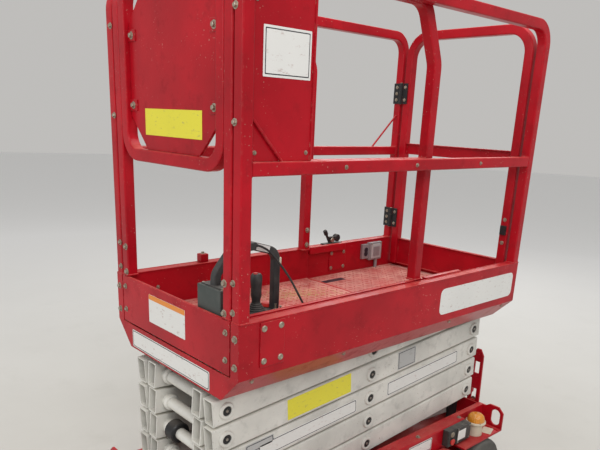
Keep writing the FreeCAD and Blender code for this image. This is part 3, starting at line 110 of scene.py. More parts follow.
class Shader:
    """A material built node by node."""

    def __init__(self, name, roughness=0.5, metallic=0.0, coat=0.0):
        self.material = bpy.data.materials.new(name)
        self.material.use_nodes = True
        self.tree = self.material.node_tree
        self.surface = self.tree.nodes["Principled BSDF"]
        self.surface.inputs["Roughness"].default_value = roughness
        self.surface.inputs["Metallic"].default_value = metallic
        self.surface.inputs["Coat Weight"].default_value = coat
        self.surface.inputs["Coat Roughness"].default_value = 0.12
        self.place = self.node("TexCoord").outputs["Object"]

    def node(self, kind, **settings):
        made = self.tree.nodes.new("ShaderNode" + kind)
        for key, value in settings.items():
            setattr(made, key, value)
        return made

    def feed(self, socket, value):
        """Links a socket, or sets it to a plain value."""
        if isinstance(value, bpy.types.NodeSocket):
            self.tree.links.new(value, socket)
        elif isinstance(value, tuple) and len(value) == 3 and socket.type == "RGBA":
            socket.default_value = (*value, 1)
        else:
            socket.default_value = value

    def noise(self, scale, detail=3.0, roughness=0.5, stretch=None):
        made = self.node("TexNoise")
        where = self.place
        if stretch:
            mapping = self.node("Mapping")
            self.feed(mapping.inputs["Vector"], where)
            mapping.inputs["Scale"].default_value = stretch
            where = mapping.outputs["Vector"]
        self.feed(made.inputs["Vector"], where)
        made.inputs["Scale"].default_value = scale
        made.inputs["Detail"].default_value = detail
        made.inputs["Roughness"].default_value = roughness
        return made.outputs["Fac"]

    def span(self, value, low, high, top=1.0):
        """A value stretched from low..high to 0..top, clamped."""
        made = self.node("MapRange", clamp=True)
        self.feed(made.inputs["Value"], value)
        made.inputs["From Min"].default_value = low
        made.inputs["From Max"].default_value = high
        made.inputs["To Max"].default_value = top
        return made.outputs["Result"]

    def sum(self, kind, first, second):
        made = self.node("Math", operation=kind, use_clamp=True)
        self.feed(made.inputs[0], first)
        self.feed(made.inputs[1], second)
        return made.outputs[0]

    def blend(self, share, first, second):
        made = self.node("Mix", data_type="RGBA")
        self.feed(made.inputs["Factor"], share)
        self.feed(made.inputs[6], first)
        self.feed(made.inputs[7], second)
        return made.outputs[2]

    def upward(self):
        """1 on faces that look up, 0 on walls."""
        split = self.node("SeparateXYZ")
        self.feed(split.inputs[0], self.node("NewGeometry").outputs["Normal"])
        return self.span(split.outputs["Z"], 0.55, 0.95)

    def relief(self, height, depth, strength=1.0, soft_edge=0.0):
        made = self.node("Bump")
        made.inputs["Strength"].default_value = strength
        made.inputs["Distance"].default_value = depth
        self.feed(made.inputs["Height"], height)
        if soft_edge:
            rounded = self.node("Bevel", samples=4)
            rounded.inputs["Radius"].default_value = soft_edge
            self.feed(made.inputs["Normal"], rounded.outputs["Normal"])
        self.feed(self.surface.inputs["Normal"], made.outputs["Normal"])

    def edges(self, radius):
        """Near 1 along sharp edges."""
        rounded = self.node("Bevel", samples=4)
        rounded.inputs["Radius"].default_value = radius
        product = self.node("VectorMath", operation="DOT_PRODUCT")
        self.feed(product.inputs[0], rounded.outputs["Normal"])
        self.feed(product.inputs[1], self.node("NewGeometry").outputs["True Normal"])
        return self.sum("SUBTRACT", 1.0, self.span(product.outputs["Value"], 0.80, 0.995))

    def colour(self, value):
        self.feed(self.surface.inputs["Base Color"], value)

    def rough(self, value):
        self.feed(self.surface.inputs["Roughness"], value)


def scaled(colour, factor):
    return tuple(min(1.0, part * factor) for part in colour)


def paint(name, colour, dusty, worn, wear=0.5, roughness=0.30, coat=0.05):
    """Old machine enamel: uneven tone, grime, dust on top faces, chips and rubbed edges."""
    made = Shader(name, roughness, coat=coat)
    made.surface.inputs["Specular IOR Level"].default_value = 0.20
    tone = made.blend(made.span(made.noise(5, 5), 0.35, 0.65), scaled(colour, 0.82), scaled(colour, 1.1))
    grime = made.span(made.noise(17, 9, 0.68), 0.53, 0.74, 0.5)
    dirty = made.blend(grime, tone, scaled(colour, 0.42))
    dust = made.sum("MULTIPLY", made.upward(), made.span(made.noise(8, 7, 0.62), 0.3, 0.62, 0.55))
    dusted = made.blend(dust, dirty, dusty)
    patches = made.span(made.noise(6.5, 3), 0.48, 0.64)
    specks = made.span(made.noise(170, 2, 0.4), 0.735 - 0.03 * wear, 0.755 - 0.03 * wear)
    chips = made.sum("MULTIPLY", patches, specks)
    rubbed = made.sum("MULTIPLY", made.edges(0.003), made.span(made.noise(60, 5, 0.6), 0.53, 0.62, wear))
    bare = made.sum("MAXIMUM", chips, rubbed)
    made.colour(made.blend(bare, dusted, worn))
    rougher = made.sum("ADD", made.sum("MULTIPLY", grime, 0.4), made.sum("MULTIPLY", dust, 0.6))
    made.rough(made.sum("ADD", rougher, roughness))
    made.relief(made.sum("SUBTRACT", made.noise(260, 2), made.sum("MULTIPLY", bare, 0.8)), 0.0006, 0.35, 0.002)
    return made.material


def metal(name, colour, roughness, spots=0.3, metallic=0.9):
    made = Shader(name, roughness, metallic)
    stain = made.span(made.noise(70, 6, 0.65), 0.45, 0.7, spots)
    made.colour(made.blend(stain, colour, (colour[0] * 0.5, colour[1] * 0.38, colour[2] * 0.28)))
    made.rough(made.sum("ADD", roughness, made.sum("MULTIPLY", stain, 0.5)))
    made.relief(made.noise(400, 3), 0.0003, 0.3, 0.001)
    return made.material


def plastic(name, colour, roughness=0.5, dusty=(0.30, 0.27, 0.23), dust=0.35, grain=0.0003):
    made = Shader(name, roughness)
    film = made.span(made.noise(12, 8, 0.6), 0.35, 0.75, dust)
    top = made.sum("MULTIPLY", made.upward(), 0.25)
    share = made.sum("MULTIPLY", made.sum("ADD", film, top), made.span(made.noise(45, 4), 0.2, 0.8))
    tone = made.blend(made.noise(30, 3), scaled(colour, 0.85), scaled(colour, 1.15))
    made.colour(made.blend(share, tone, dusty))
    made.rough(made.sum("ADD", roughness, made.sum("MULTIPLY", share, 0.5)))
    made.relief(made.noise(520, 2), grain, 0.5, 0.0015)
    return made.material


def vinyl(name, colour, scuff):
    """A stuck-on sheet with scuffs."""
    made = Shader(name, 0.42)
    marks = made.span(made.noise(38, 9, 0.7, (1, 1, 2.5)), 0.58, 0.68, 0.7)
    tone = made.blend(made.noise(9, 4), scaled(colour, 0.9), colour)
    made.colour(made.blend(marks, tone, scuff))
    made.rough(made.sum("ADD", 0.4, made.sum("MULTIPLY", marks, 0.4)))
    made.relief(made.noise(90, 3), 0.0004, 0.2)
    return made.material


def rubber(name):
    made = Shader(name, 0.82)
    dust = made.span(made.noise(14, 9, 0.7), 0.3, 0.75, 0.6)
    made.colour(made.blend(dust, (0.055, 0.054, 0.052), (0.20, 0.185, 0.16)))
    made.relief(made.noise(180, 4), 0.0012, 0.5, 0.002)
    return made.material


def amber(name):
    made = Shader(name, 0.16, coat=0.6)
    made.surface.inputs["Transmission Weight"].default_value = 0.35
    made.surface.inputs["IOR"].default_value = 1.45
    made.colour(made.blend(made.span(made.noise(26, 5), 0.4, 0.8), (0.95, 0.36, 0.02), (0.72, 0.30, 0.05)))
    made.relief(made.noise(120, 2), 0.0003, 0.3)
    return made.material


def crumbs(name):
    made = Shader(name, 0.9)
    made.colour(made.blend(made.noise(140, 3), (0.33, 0.20, 0.06), (0.62, 0.47, 0.22)))
    made.relief(made.noise(700, 2), 0.0008, 0.6)
    return made.material


def concrete(name):
    """Pale worn concrete, paler far from the machine: painted brightness that lifts the far floor, which the lamps
    light less, up to the backdrop.
    """
    made = Shader(name, 0.75)
    made.surface.inputs["Specular IOR Level"].default_value = 0.2
    tone = made.blend(made.noise(0.9, 7, 0.62), (0.47, 0.455, 0.415), (0.57, 0.555, 0.515))
    away = made.node("VectorMath", operation="LENGTH")
    made.feed(away.inputs[0], made.place)
    stains = made.span(made.noise(2.2, 8, 0.7), 0.55, 0.75, 0.35)
    tone = made.blend(stains, tone, (0.40, 0.385, 0.345))
    # Painted light: the colour turns paler from 1.5 m to 7 m out from the machine, standing in for the lamp light that
    # the far floor lacks.
    made.colour(made.blend(made.span(away.outputs["Value"], 1.5, 7.0), tone, (0.93, 0.92, 0.90)))
    made.relief(made.noise(30, 6), 0.002, 0.15)
    return made.material


RED = (0.420, 0.0040, 0.0125)
GREY = (0.66, 0.645, 0.595)
M = {
    "red": paint("red_enamel", RED, (0.56, 0.13, 0.10), (0.52, 0.31, 0.25), 0.5),
    "grey": paint("grey_enamel", GREY, (0.58, 0.54, 0.46), (0.25, 0.20, 0.15), 0.45, 0.38, 0.1),
    "rim": paint("rim_enamel", (0.44, 0.43, 0.41), (0.40, 0.36, 0.30), (0.20, 0.13, 0.08), 0.7, 0.5, 0.0),
    "black": paint("black_enamel", (0.022, 0.022, 0.023), (0.16, 0.14, 0.12), (0.22, 0.18, 0.14), 0.6, 0.42, 0.1),
    "casting": metal("grey_casting", (0.36, 0.36, 0.37), 0.5, 0.2, 0.5),
    "zinc": metal("plated_steel", (0.42, 0.37, 0.30), 0.4, 0.65),
    "chrome": metal("rod_chrome", (0.78, 0.78, 0.79), 0.12, 0.08, 1.0),
    "steel": metal("bare_steel", (0.33, 0.30, 0.27), 0.45, 0.5),
    "plastic": plastic("black_plastic", (0.020, 0.020, 0.021)),
    "panel": plastic("dark_green_panel", (0.034, 0.045, 0.042), 0.45, dust=0.25),
    "cream": plastic("cream_plastic", (0.62, 0.55, 0.42), 0.5),
    "stop": plastic("stop_button_red", (0.55, 0.02, 0.015), 0.3, dust=0.15),
    "boot": plastic("rubber_boot", (0.016, 0.016, 0.017), 0.62, grain=0.0008),
    "white": vinyl("white_vinyl", (0.78, 0.77, 0.74), (0.45, 0.33, 0.30)),
    "ink": vinyl("dark_ink", (0.020, 0.020, 0.030), (0.30, 0.28, 0.26)),
    "yellow": vinyl("yellow_vinyl", (0.80, 0.72, 0.04), (0.42, 0.38, 0.12)),
    "orange": vinyl("orange_vinyl", (0.80, 0.26, 0.03), (0.50, 0.30, 0.18)),
    "silver": vinyl("silver_plate", (0.48, 0.48, 0.47), (0.30, 0.29, 0.27)),
    "rubber": rubber("tyre_rubber"),
    "amber": amber("amber_lens"),
    "tread": paint("worn_tread", (0.40, 0.045, 0.040), (0.56, 0.17, 0.13), (0.62, 0.50, 0.42), 0.9, 0.5, 0.0),
    "floor": paint("dusty_floor", (0.40, 0.050, 0.045), (0.74, 0.42, 0.34), (0.55, 0.36, 0.28), 0.6, 0.5, 0.0),
    "crumbs": crumbs("dry_debris"),
    "concrete": concrete("pale_floor"),
}


class Piece:
    """A mesh gathered from simple forms, with one material for each form."""

    def __init__(self):
        self.points = []
        self.faces = []
        self.inks = []
        self.names = []
        self.turn = Matrix.Identity(4)

    def ink(self, name):
        if name not in self.names:
            self.names.append(name)
        return self.names.index(name)

    def put(self, points, faces, ink):
        base = len(self.points)
        number = self.ink(ink)
        self.points.extend(self.turn @ Vector(point) for point in points)
        self.faces.extend([corner + base for corner in face] for face in faces)
        self.inks.extend([number] * len(faces))

    def solid(self, outline, first, last, axis, ink, bevel=0.0, steps=2):
        """An outline in the plane across an axis, drawn out between two planes, its edges rounded."""
        order = {"x": lambda u, v, w: (w, u, v), "y": lambda u, v, w: (u, w, v), "z": lambda u, v, w: (u, v, w)}[axis]
        mesh = bmesh.new()
        low = [mesh.verts.new(order(u, v, first)) for u, v in outline]
        high = [mesh.verts.new(order(u, v, last)) for u, v in outline]
        count = len(outline)
        mesh.faces.new(low)
        mesh.faces.new(list(reversed(high)))
        for index in range(count):
            after = (index + 1) % count
            mesh.faces.new((low[index], high[index], high[after], low[after]))
        bmesh.ops.recalc_face_normals(mesh, faces=mesh.faces)
        if bevel:
            bmesh.ops.bevel(mesh, geom=mesh.edges[:], offset=bevel, segments=steps, profile=0.6, affect="EDGES",
                            clamp_overlap=True)
        mesh.verts.index_update()
        self.put([v.co for v in mesh.verts], [[v.index for v in f.verts] for f in mesh.faces], ink)
        mesh.free()

    def box(self, x, y, z, ink, bevel=0.0015, steps=2):
        outline = [(x[0], y[0]), (x[1], y[0]), (x[1], y[1]), (x[0], y[1])]
        self.solid(outline, z[0], z[1], "z", ink, bevel, steps)

    def lathe(self, section, at, axis, ink, count=28, hollow=False):
        """Rings of (radius, height) pairs about an axis through a point, capped or closed round a bore."""
        direction = Vector(axis).normalized()
        side = direction.orthogonal().normalized()
        across = direction.cross(side)
        points, faces = [], []
        for radius, height in section:
            for step in range(count):
                angle = 2 * math.pi * step / count
                offset = (side * math.cos(angle) + across * math.sin(angle)) * max(radius, 1e-5)
                points.append(Vector(at) + direction * height + offset)
        rings = len(section)
        for ring in range(rings if hollow else rings - 1):
            here, there = ring * count, (ring + 1) % rings * count
            for step in range(count):
                after = (step + 1) % count
                faces.append((here + step, here + after, there + after, there + step))
        if not hollow:
            faces.append(tuple(reversed(range(count))))
            faces.append(tuple(range(len(points) - count, len(points))))
        self.put(points, faces, ink)

    def rod(self, start, stop, radius, ink, count=20, bevel=0.001):
        way = Vector(stop) - Vector(start)
        length = way.length
        self.lathe([(radius - bevel, 0), (radius, bevel), (radius, length - bevel), (radius - bevel, length)],
                   start, way, ink, count)

    def bolt(self, at, axis, radius=0.007, ink="zinc"):
        """Washer and chamfered hexagon head."""
        self.lathe([(radius * 1.55, 0), (radius * 1.55, 0.0012), (radius * 1.45, 0.0016)], at, axis, ink, 18)
        head = radius * 0.75
        base = Vector(at) + Vector(axis).normalized() * 0.0014
        self.lathe([(radius, 0), (radius, head), (radius * 0.86, head + radius * 0.14)], base, axis, ink, 6)

    def tube(self, corners, bend, width, plane, across, ink, radius=0.005):
        """A square tube with rounded edges along straight runs and arcs in the XZ or YZ plane."""
        flat = {"XZ": lambda p: Vector((p[0], across, p[1])), "YZ": lambda p: Vector((across, p[0], p[1]))}[plane]
        normal = Vector((0, 1, 0)) if plane == "XZ" else Vector((1, 0, 0))
        corners = [flat(point) for point in corners]
        stations = [(corners[0], (corners[1] - corners[0]).normalized())]
        for before, corner, after in zip(corners, corners[1:], corners[2:]):
            inward = (before - corner).normalized()
            outward = (after - corner).normalized()
            half = inward.angle(outward) / 2
            reach = bend / math.tan(half)
            hub = corner + (inward + outward).normalized() * (bend / math.sin(half))
            first = corner + inward * reach - hub
            turn = math.pi - 2 * half
            spin = first.cross(corner + outward * reach - hub).normalized()
            steps = max(3, int(turn / math.radians(7.5)))
            for step in range(steps + 1):
                rotation = Matrix.Rotation(turn * step / steps, 3, spin)
                stations.append((hub + rotation @ first, rotation @ (-inward)))
        stations.append((corners[-1], (corners[-1] - corners[-2]).normalized()))
        ring = []
        half_width = width / 2 - radius
        for quarter, (sx, sy) in enumerate(((1, 1), (-1, 1), (-1, -1), (1, -1))):
            for step in range(4):
                angle = math.radians(90 * quarter + 30 * step)
                ring.append((sx * half_width + radius * math.cos(angle), sy * half_width + radius * math.sin(angle)))
        points, faces = [], []
        count = len(ring)
        for centre, along in stations:
            up = along.cross(normal)
            points.extend(centre + normal * a + up * b for a, b in ring)
        for row in range(len(stations) - 1):
            for step in range(count):
                after = (step + 1) % count
                faces.append((row * count + step, row * count + after, (row + 1) * count + after,
                              (row + 1) * count + step))
        faces.append(tuple(reversed(range(count))))
        faces.append(tuple(range(len(points) - count, len(points))))
        self.put(points, faces, ink)

    def sheet(self, centre, right, up, size, corner, ink, thick=0.0006):
        """A thin plate with rounded corners, its face away from the surface that it lies on."""
        right = Vector(right).normalized()
        up = Vector(up).normalized()
        out = right.cross(up)
        wide, high = size[0] / 2 - corner, size[1] / 2 - corner
        outline = []
        for quarter, (sx, sy) in enumerate(((1, 1), (-1, 1), (-1, -1), (1, -1))):
            for step in range(5):
                angle = math.radians(90 * quarter + 22.5 * step)
                outline.append(right * (sx * wide + corner * math.cos(angle))
                               + up * (sy * high + corner * math.sin(angle)))
        count = len(outline)
        points = [Vector(centre) + point for point in outline]
        points += [Vector(centre) + point * 0.998 + out * thick for point in outline]
        faces = [(step, (step + 1) % count, count + (step + 1) % count, count + step) for step in range(count)]
        faces.append(tuple(range(count, 2 * count)))
        faces.append(tuple(reversed(range(count))))
        self.put(points, faces, ink)

    def label(self, centre, right, up, size, ink="white", border="ink", corner=0.006, rim=0.003):
        """A blank label with a thin printed border."""
        self.sheet(centre, right, up, size, corner, ink, 0.0004)
        out = Vector(right).normalized().cross(Vector(up).normalized())
        if border:
            inner = (size[0] - 2 * rim, size[1] - 2 * rim)
            self.sheet(Vector(centre) + out * 0.0003, right, up, inner, corner, border, 0.0003)
            inner = (inner[0] - 0.0056, inner[1] - 0.0056)
            self.sheet(Vector(centre) + out * 0.0005, right, up, inner, corner, ink, 0.0003)

    def build(self, name, body, replaces=()):
        mesh = bpy.data.meshes.new(name)
        mesh.from_pydata(self.points, [], self.faces)
        for ink in self.names:
            mesh.materials.append(M[ink])
        mesh.polygons.foreach_set("material_index", self.inks)
        mesh.validate()
        whole = bmesh.new()
        whole.from_mesh(mesh)
        bmesh.ops.recalc_face_normals(whole, faces=whole.faces)
        whole.to_mesh(mesh)
        whole.free()
        mesh.shade_smooth()
        mesh.set_sharp_from_angle(angle=math.radians(42))
        made = bpy.data.objects.new(name, mesh)
        bpy.context.scene.collection.objects.link(made)
        weighted = made.modifiers.new("weighted", "WEIGHTED_NORMAL")
        weighted.keep_sharp = True
        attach(made, body)
        if replaces:
            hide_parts(*replaces)
        return made


def studio():
    """Pale floor, even sky and soft lamps."""
    scene = bpy.context.scene
    scene.view_settings.view_transform = "Standard"
    world = bpy.data.worlds.new("studio")
    scene.world = world
    world.use_nodes = True
    tree = world.node_tree
    light = tree.nodes["Background"]
    light.inputs["Color"].default_value = (1, 1, 1, 1)
    light.inputs["Strength"].default_value = 0.50
    seen = tree.nodes.new("ShaderNodeBackground")
    seen.inputs["Color"].default_value = (0.52, 0.51, 0.495, 1)
    seen.inputs["Strength"].default_value = 1.0
    path = tree.nodes.new("ShaderNodeLightPath")
    either = tree.nodes.new("ShaderNodeMath")
    either.operation = "MAXIMUM"
    all_three = tree.nodes.new("ShaderNodeMath")
    all_three.operation = "MAXIMUM"
    mixed = tree.nodes.new("ShaderNodeMixShader")
    tree.links.new(path.outputs["Is Camera Ray"], either.inputs[0])
    tree.links.new(path.outputs["Is Glossy Ray"], either.inputs[1])
    tree.links.new(either.outputs[0], all_three.inputs[0])
    tree.links.new(path.outputs["Is Transmission Ray"], all_three.inputs[1])
    tree.links.new(all_three.outputs[0], mixed.inputs["Fac"])
    tree.links.new(light.outputs[0], mixed.inputs[1])
    tree.links.new(seen.outputs[0], mixed.inputs[2])
    tree.links.new(mixed.outputs[0], tree.nodes["World Output"].inputs["Surface"])
    for name, spot, power, size in (("key", (2.6, 3.6, 4.6), 120, 2.4), ("over", (-0.4, 0.2, 5.2), 150, 4.0),
                                    ("side", (4.6, -1.2, 2.6), 40, 2.0), ("back", (-4.0, -3.0, 3.6), 60, 2.5)):
        data = bpy.data.lights.new(name, "AREA")
        data.energy = power
        data.size = size
        lamp = bpy.data.objects.new(name, data)
        scene.collection.objects.link(lamp)
        lamp.location = spot
        lamp.rotation_mode = "QUATERNION"
        lamp.rotation_quaternion = (Vector((0, 0, 0.9)) - Vector(spot)).to_track_quat("-Z", "Y")
    mesh = bpy.data.meshes.new("studio_floor")
    rim = [(24 * math.cos(math.radians(a)), 24 * math.sin(math.radians(a)), 0) for a in range(0, 360, 6)]
    mesh.from_pydata(rim, [], [tuple(range(len(rim)))])
    mesh.materials.append(M["concrete"])
    floor = bpy.data.objects.new("studio_floor", mesh)
    scene.collection.objects.link(floor)


SLOT_INK = {"red_paint": "red", "grey_paint": "grey", "black_metal": "black", "chrome_rod": "chrome",
            "amber_lens": "amber", "black_plastic": "plastic", "grey_casting": "casting", "tyre_rubber": "rubber",
            "rim_paint": "rim"}
NODE_INK = {"upper_rollers": "steel", "lower_rollers": "steel", "roller_rails": "steel", "tie_rod": "steel",
            "cylinder_barrel": "grey", "outlet_box": "casting"}


def dress_frame():
    """Every CAD node gets the material of its slot."""
    for part in frame["record"]["subparts"]:
        node = frame["nodes"][part["node"]]
        ink = NODE_INK.get(part["node"], SLOT_INK[part["material_slot"]])
        node.data.materials.clear()
        node.data.materials.append(M[ink])


def mirrored(side, y):
    return tuple(sorted((side * y[0], side * y[1])))


# Scissor stack
def arm_turn(level, outer):
    height = BASE_PIN_Z + (5 - level + 0.5) * PITCH
    tilt = TILT if outer else -TILT
    return Matrix.Translation((STACK_X, 0, height)) @ Matrix.Rotation(tilt, 4, "Y")


def hollow_arm(piece, y, x, ink="grey"):
    """A rectangular tube with open ends and rounded edges."""
    wall = 0.005
    loops = []
    for inset, radius in ((0, 0.006), (wall, 0.002)):
        low_y, high_y = y[0] + inset + radius, y[1] - inset - radius
        top = 0.046 - inset - radius
        ring = []
        for quarter, (v, w) in enumerate(((high_y, top), (low_y, top), (low_y, -top), (high_y, -top))):
            for step in range(4):
                angle = math.radians(90 * quarter + 30 * step)
                ring.append((v + radius * math.cos(angle), w + radius * math.sin(angle)))
        loops.append(ring)
    count = len(loops[0])
    points = []
    for place in x:
        for ring in loops:
            points.extend((place, v, w) for v, w in ring)
    faces = []
    for step in range(count):
        after = (step + 1) % count
        outside, inside = 2 * count, 3 * count
        faces.append((step, after, outside + after, outside + step))
        faces.append((count + after, count + step, inside + step, inside + after))
        faces.append((after, step, count + step, count + after))
        faces.append((outside + step, outside + after, inside + after, inside + step))
    piece.put(points, faces, ink)


def boss(piece, x, side, face=OUTER_Y, reach=0.008):
    """Ring round a pin end with the dark recessed pin and its screw inside."""
    at = (x, side * (face - 0.001), 0)
    axis = (0, side, 0)
    height = reach + 0.001
    piece.lathe([(0.0285, 0), (0.0285, height - 0.005), (0.027, height - 0.001), (0.0255, height),
                 (0.0185, height), (0.0172, height - 0.001), (0.0168, height - 0.0055), (0.002, height - 0.0055)],
                at, axis, "grey", 30)
    piece.lathe([(0.0160, height - 0.0056), (0.0160, height - 0.0035), (0.0150, height - 0.0028),
                 (0.0075, height - 0.0028), (0.0070, height - 0.0045), (0.001, height - 0.0045)],
                at, axis, "black", 24)
    piece.lathe([(0.0055, height - 0.0044), (0.0055, height - 0.0015), (0.0045, height - 0.0008)],
                at, axis, "steel", 6)


def weld(piece, x, side, y, radius, ink="grey"):
    """A rough fillet bead where a tube meets an arm."""
    at = (x, side * y, 0)
    count = 36
    section = ((0, 0), (0.0045, 0.0008), (0.0026, 0.0046), (0, 0.0058))
    points, faces = [], []
    for out, along in section:
        for step in range(count):
            angle = 2 * math.pi * step / count
            reach = radius + out * (1 + 0.12 * math.cos(9 * angle))
            points.append((at[0] + reach * math.cos(angle), at[1] - side * along, reach * math.sin(angle)))
    for ring in range(len(section) - 1):
        for step in range(count):
            after = (step + 1) % count
            quad = (ring * count + step, ring * count + after, (ring + 1) * count + after,
                    (ring + 1) * count + step)
            faces.append(quad if side < 0 else tuple(reversed(quad)))
    piece.put(points, faces, ink)


def outer_arms(level):
    piece = Piece()
    piece.turn = arm_turn(level, True)
    for _, side in SIDES:
        hollow_arm(piece, mirrored(side, (OUTER_Y - ARM_WIDTH, OUTER_Y)), (-HALF_ARM - 0.05, HALF_ARM + 0.05))
        for spot in (HALF_ARM, 0, -HALF_ARM):
            if level == 5 and spot > 0:
                continue
            if level == 1 and spot < 0:
                piece.rod((spot, side * (OUTER_Y - ARM_WIDTH), 0), (spot, side * 0.261, 0), 0.016, "steel")
                continue
            boss(piece, spot, side)
            piece.rod((spot, side * 0.119, 0), (spot, side * OUTER_Y, 0), 0.016, "steel", 20)
            piece.lathe([(0.026, 0), (0.026, 0.011), (0.024, 0.013)],
                        (spot, side * (OUTER_Y - ARM_WIDTH), 0), (0, -side, 0), "grey", 26)
    if level == 5:
        piece.rod((HALF_ARM, -0.188, 0), (HALF_ARM, 0.188, 0), 0.021, "grey", 28)
        for _, side in SIDES:
            weld(piece, HALF_ARM, side, 0.188, 0.021)
    arm_labels(piece, level)
    piece.build("outer_arm_pair_%d" % level, "outer_%d" % level, ["outer_arms_%d" % level])


def inner_arms(level):
    piece = Piece()
    piece.turn = arm_turn(level, False)
    front = HALF_ARM + (0.028 if level == 1 else 0.05)
    for _, side in SIDES:
        hollow_arm(piece, mirrored(side, (TUBE_END_Y, INNER_Y)), (-HALF_ARM - 0.05, front))
        for spot in (HALF_ARM, -HALF_ARM):
            weld(piece, spot, side, TUBE_END_Y, 0.021)
            if spot > 0:
                piece.lathe([(0.0225, 0), (0.029, 0.0015), (0.029, 0.014), (0.027, 0.0165), (0.0225, 0.0175)],
                            (spot, side * 0.104, 0), (0, -side, 0), "grey", 30)
        piece.lathe([(0.024, 0), (0.024, 0.004), (0.022, 0.005)], (0, side * TUBE_END_Y, 0), (0, -side, 0), "grey", 26)
    for spot in (HALF_ARM, -HALF_ARM):
        piece.rod((spot, -TUBE_END_Y, 0), (spot, TUBE_END_Y, 0), 0.021, "grey", 30)
    if level == 4:
        piece.lathe([(0.034, 0), (0.038, 0.004), (0.038, 0.046), (0.034, 0.05)],
                    (HALF_ARM, -0.087, 0), (0, 1, 0), "black", 32)
    piece.build("inner_arm_pair_%d" % level, "inner_%d" % level, ["inner_arms_%d" % level])


def arm_labels(piece, level):
    """Blank labels on the outer left arms; places run along the arm from its middle."""
    y = OUTER_Y + 0.0004
    right, up = (-1, 0, 0), (0, 0, 1)
    if level == 2:
        piece.label((0.272, y, 0.004), right, up, (0.315, 0.078), "yellow", None, 0.002)
        piece.label((-0.215, y, 0.003), right, up, (0.112, 0.078), "silver", "ink", 0.003, 0.004)
    if level == 3:
        piece.label((0.315, y, -0.006), right, up, (0.480, 0.056))
        piece.label((-0.345, y, -0.002), right, up, (0.480, 0.060))
        piece.label((0.548, y, 0.022), right, up, (0.120, 0.034), "silver", "ink", 0.003)
    if level == 1:
        for _, side in SIDES:
            piece.sheet((-0.52, side * y, -0.010), (-side, 0, 0), up, (0.060, 0.030), 0.003, "silver", 0.0004)
    if level in (2, 4):
        piece.label((-0.2, -y, 0), (1, 0, 0), up, (0.34, 0.056))


def cylinder_details():
    """Port blocks, fittings and a rigid pipe along the lift cylinder, in its own frame."""
    tilt = math.atan2(2 * PITCH, 1.374367)
    turn = Matrix.Translation((-0.675033, -0.062, BASE_PIN_Z)) @ Matrix.Rotation(-tilt, 4, "Y")
    piece = Piece()
    piece.turn = turn
    piece.box((0.075, 0.125), (-0.016, 0.016), (0.034, 0.058), "black", 0.003)
    piece.rod((0.125, 0, 0.047), (0.150, 0, 0.047), 0.0085, "zinc", 6)
    piece.rod((0.148, 0, 0.047), (0.980, 0, 0.047), 0.005, "steel", 12, 0.0005)
    piece.rod((0.975, 0, 0.047), (1.000, 0, 0.047), 0.0085, "zinc", 6)
    piece.box((0.998, 0.040 + 1.0), (-0.014, 0.014), (0.034, 0.057), "black", 0.003)
    for place in (0.33, 0.66):
        piece.box((place, place + 0.018), (-0.010, 0.010), (0.036, 0.055), "zinc", 0.001)
    piece.lathe([(0.0385, 0), (0.0400, 0.002), (0.0400, 0.010), (0.0385, 0.012)], (0.06, 0, 0), (1, 0, 0), "black", 36)
    for start in (1.105, 1.123, 1.141):
        piece.lathe([(0.0425, 0), (0.0442, 0.001), (0.0442, 0.004), (0.0425, 0.005)],
                    (start, 0, 0), (1, 0, 0), "black", 40)
    piece.box((0.02, 0.055), (-0.030, -0.026), (0.0, 0.03), "zinc", 0.001)
    piece.build("cylinder_fittings", "cylinder")
    rod_piece = Piece()
    rod_piece.turn = turn
    rod_piece.lathe([(0.0245, 0), (0.033, 0.003), (0.033, 0.012), (0.0245, 0.016)],
                    (1.262, 0, 0), (1, 0, 0), "black", 32)
    rod_piece.build("cylinder_rod_collar", "piston")


# Platform
def post_foot(piece, x, y, z, ink="red"):
    """Weld bead round the foot of a square post."""
    half = TUBE / 2
    for cx, cy in ((x - half, None), (x + half, None), (None, y - half), (None, y + half)):
        if cx is not None:
            piece.rod((cx, y - half, z + 0.001), (cx, y + half, z + 0.001), 0.003, ink, 8, 0.001)
        else:
            piece.rod((x - half, cy, z + 0.001), (x + half, cy, z + 0.001), 0.003, ink, 8, 0.001)


def guard_rail(side_name, side):
    piece = Piece()
    top = RAIL_TOP - TUBE / 2
    piece.tube([(FRONT_POST, WALL_TOP), (FRONT_POST, top), (REAR_POST, top), (REAR_POST, WALL_TOP)],
               0.075, TUBE, "XZ", side * RAIL_Y, "red")
    piece.box((REAR_POST + 0.019, FRONT_POST - 0.019), mirrored(side, (0.331, 0.369)),
              (MID_RAIL - TUBE, MID_RAIL), "red", 0.005, 3)
    for post, way in ((FRONT_POST, -1), (REAR_POST, 1)):
        post_foot(piece, post, side * RAIL_Y, WALL_TOP)
        edge = post + way * 0.019
        for z in (MID_RAIL, MID_RAIL - TUBE):
            piece.rod((edge, side * 0.334, z), (edge, side * 0.366, z), 0.0028, "red", 8)
    for z in (1.939, 1.666, 1.238, 1.152):
        piece.bolt((FRONT_POST + 0.019, side * 0.338, z), (1, 0, 0), 0.0065)
    if side > 0:
        piece.rod((0.7125, 0.359, 1.681), (0.605, 0.359, 1.5662), 0.0042, "red", 10)
    else:
        piece.rod((-0.7115, -0.349, 1.712), (-0.555, -0.349, 1.566), 0.0042, "red", 10)
    for x in (0.36, 0.02, -0.36):
        piece.bolt((x, side * 0.369, MID_RAIL - 0.019), (0, side, 0), 0.0045)
    piece.build(side_name + "_rail", "platform", [side_name + "_guard_rail"])


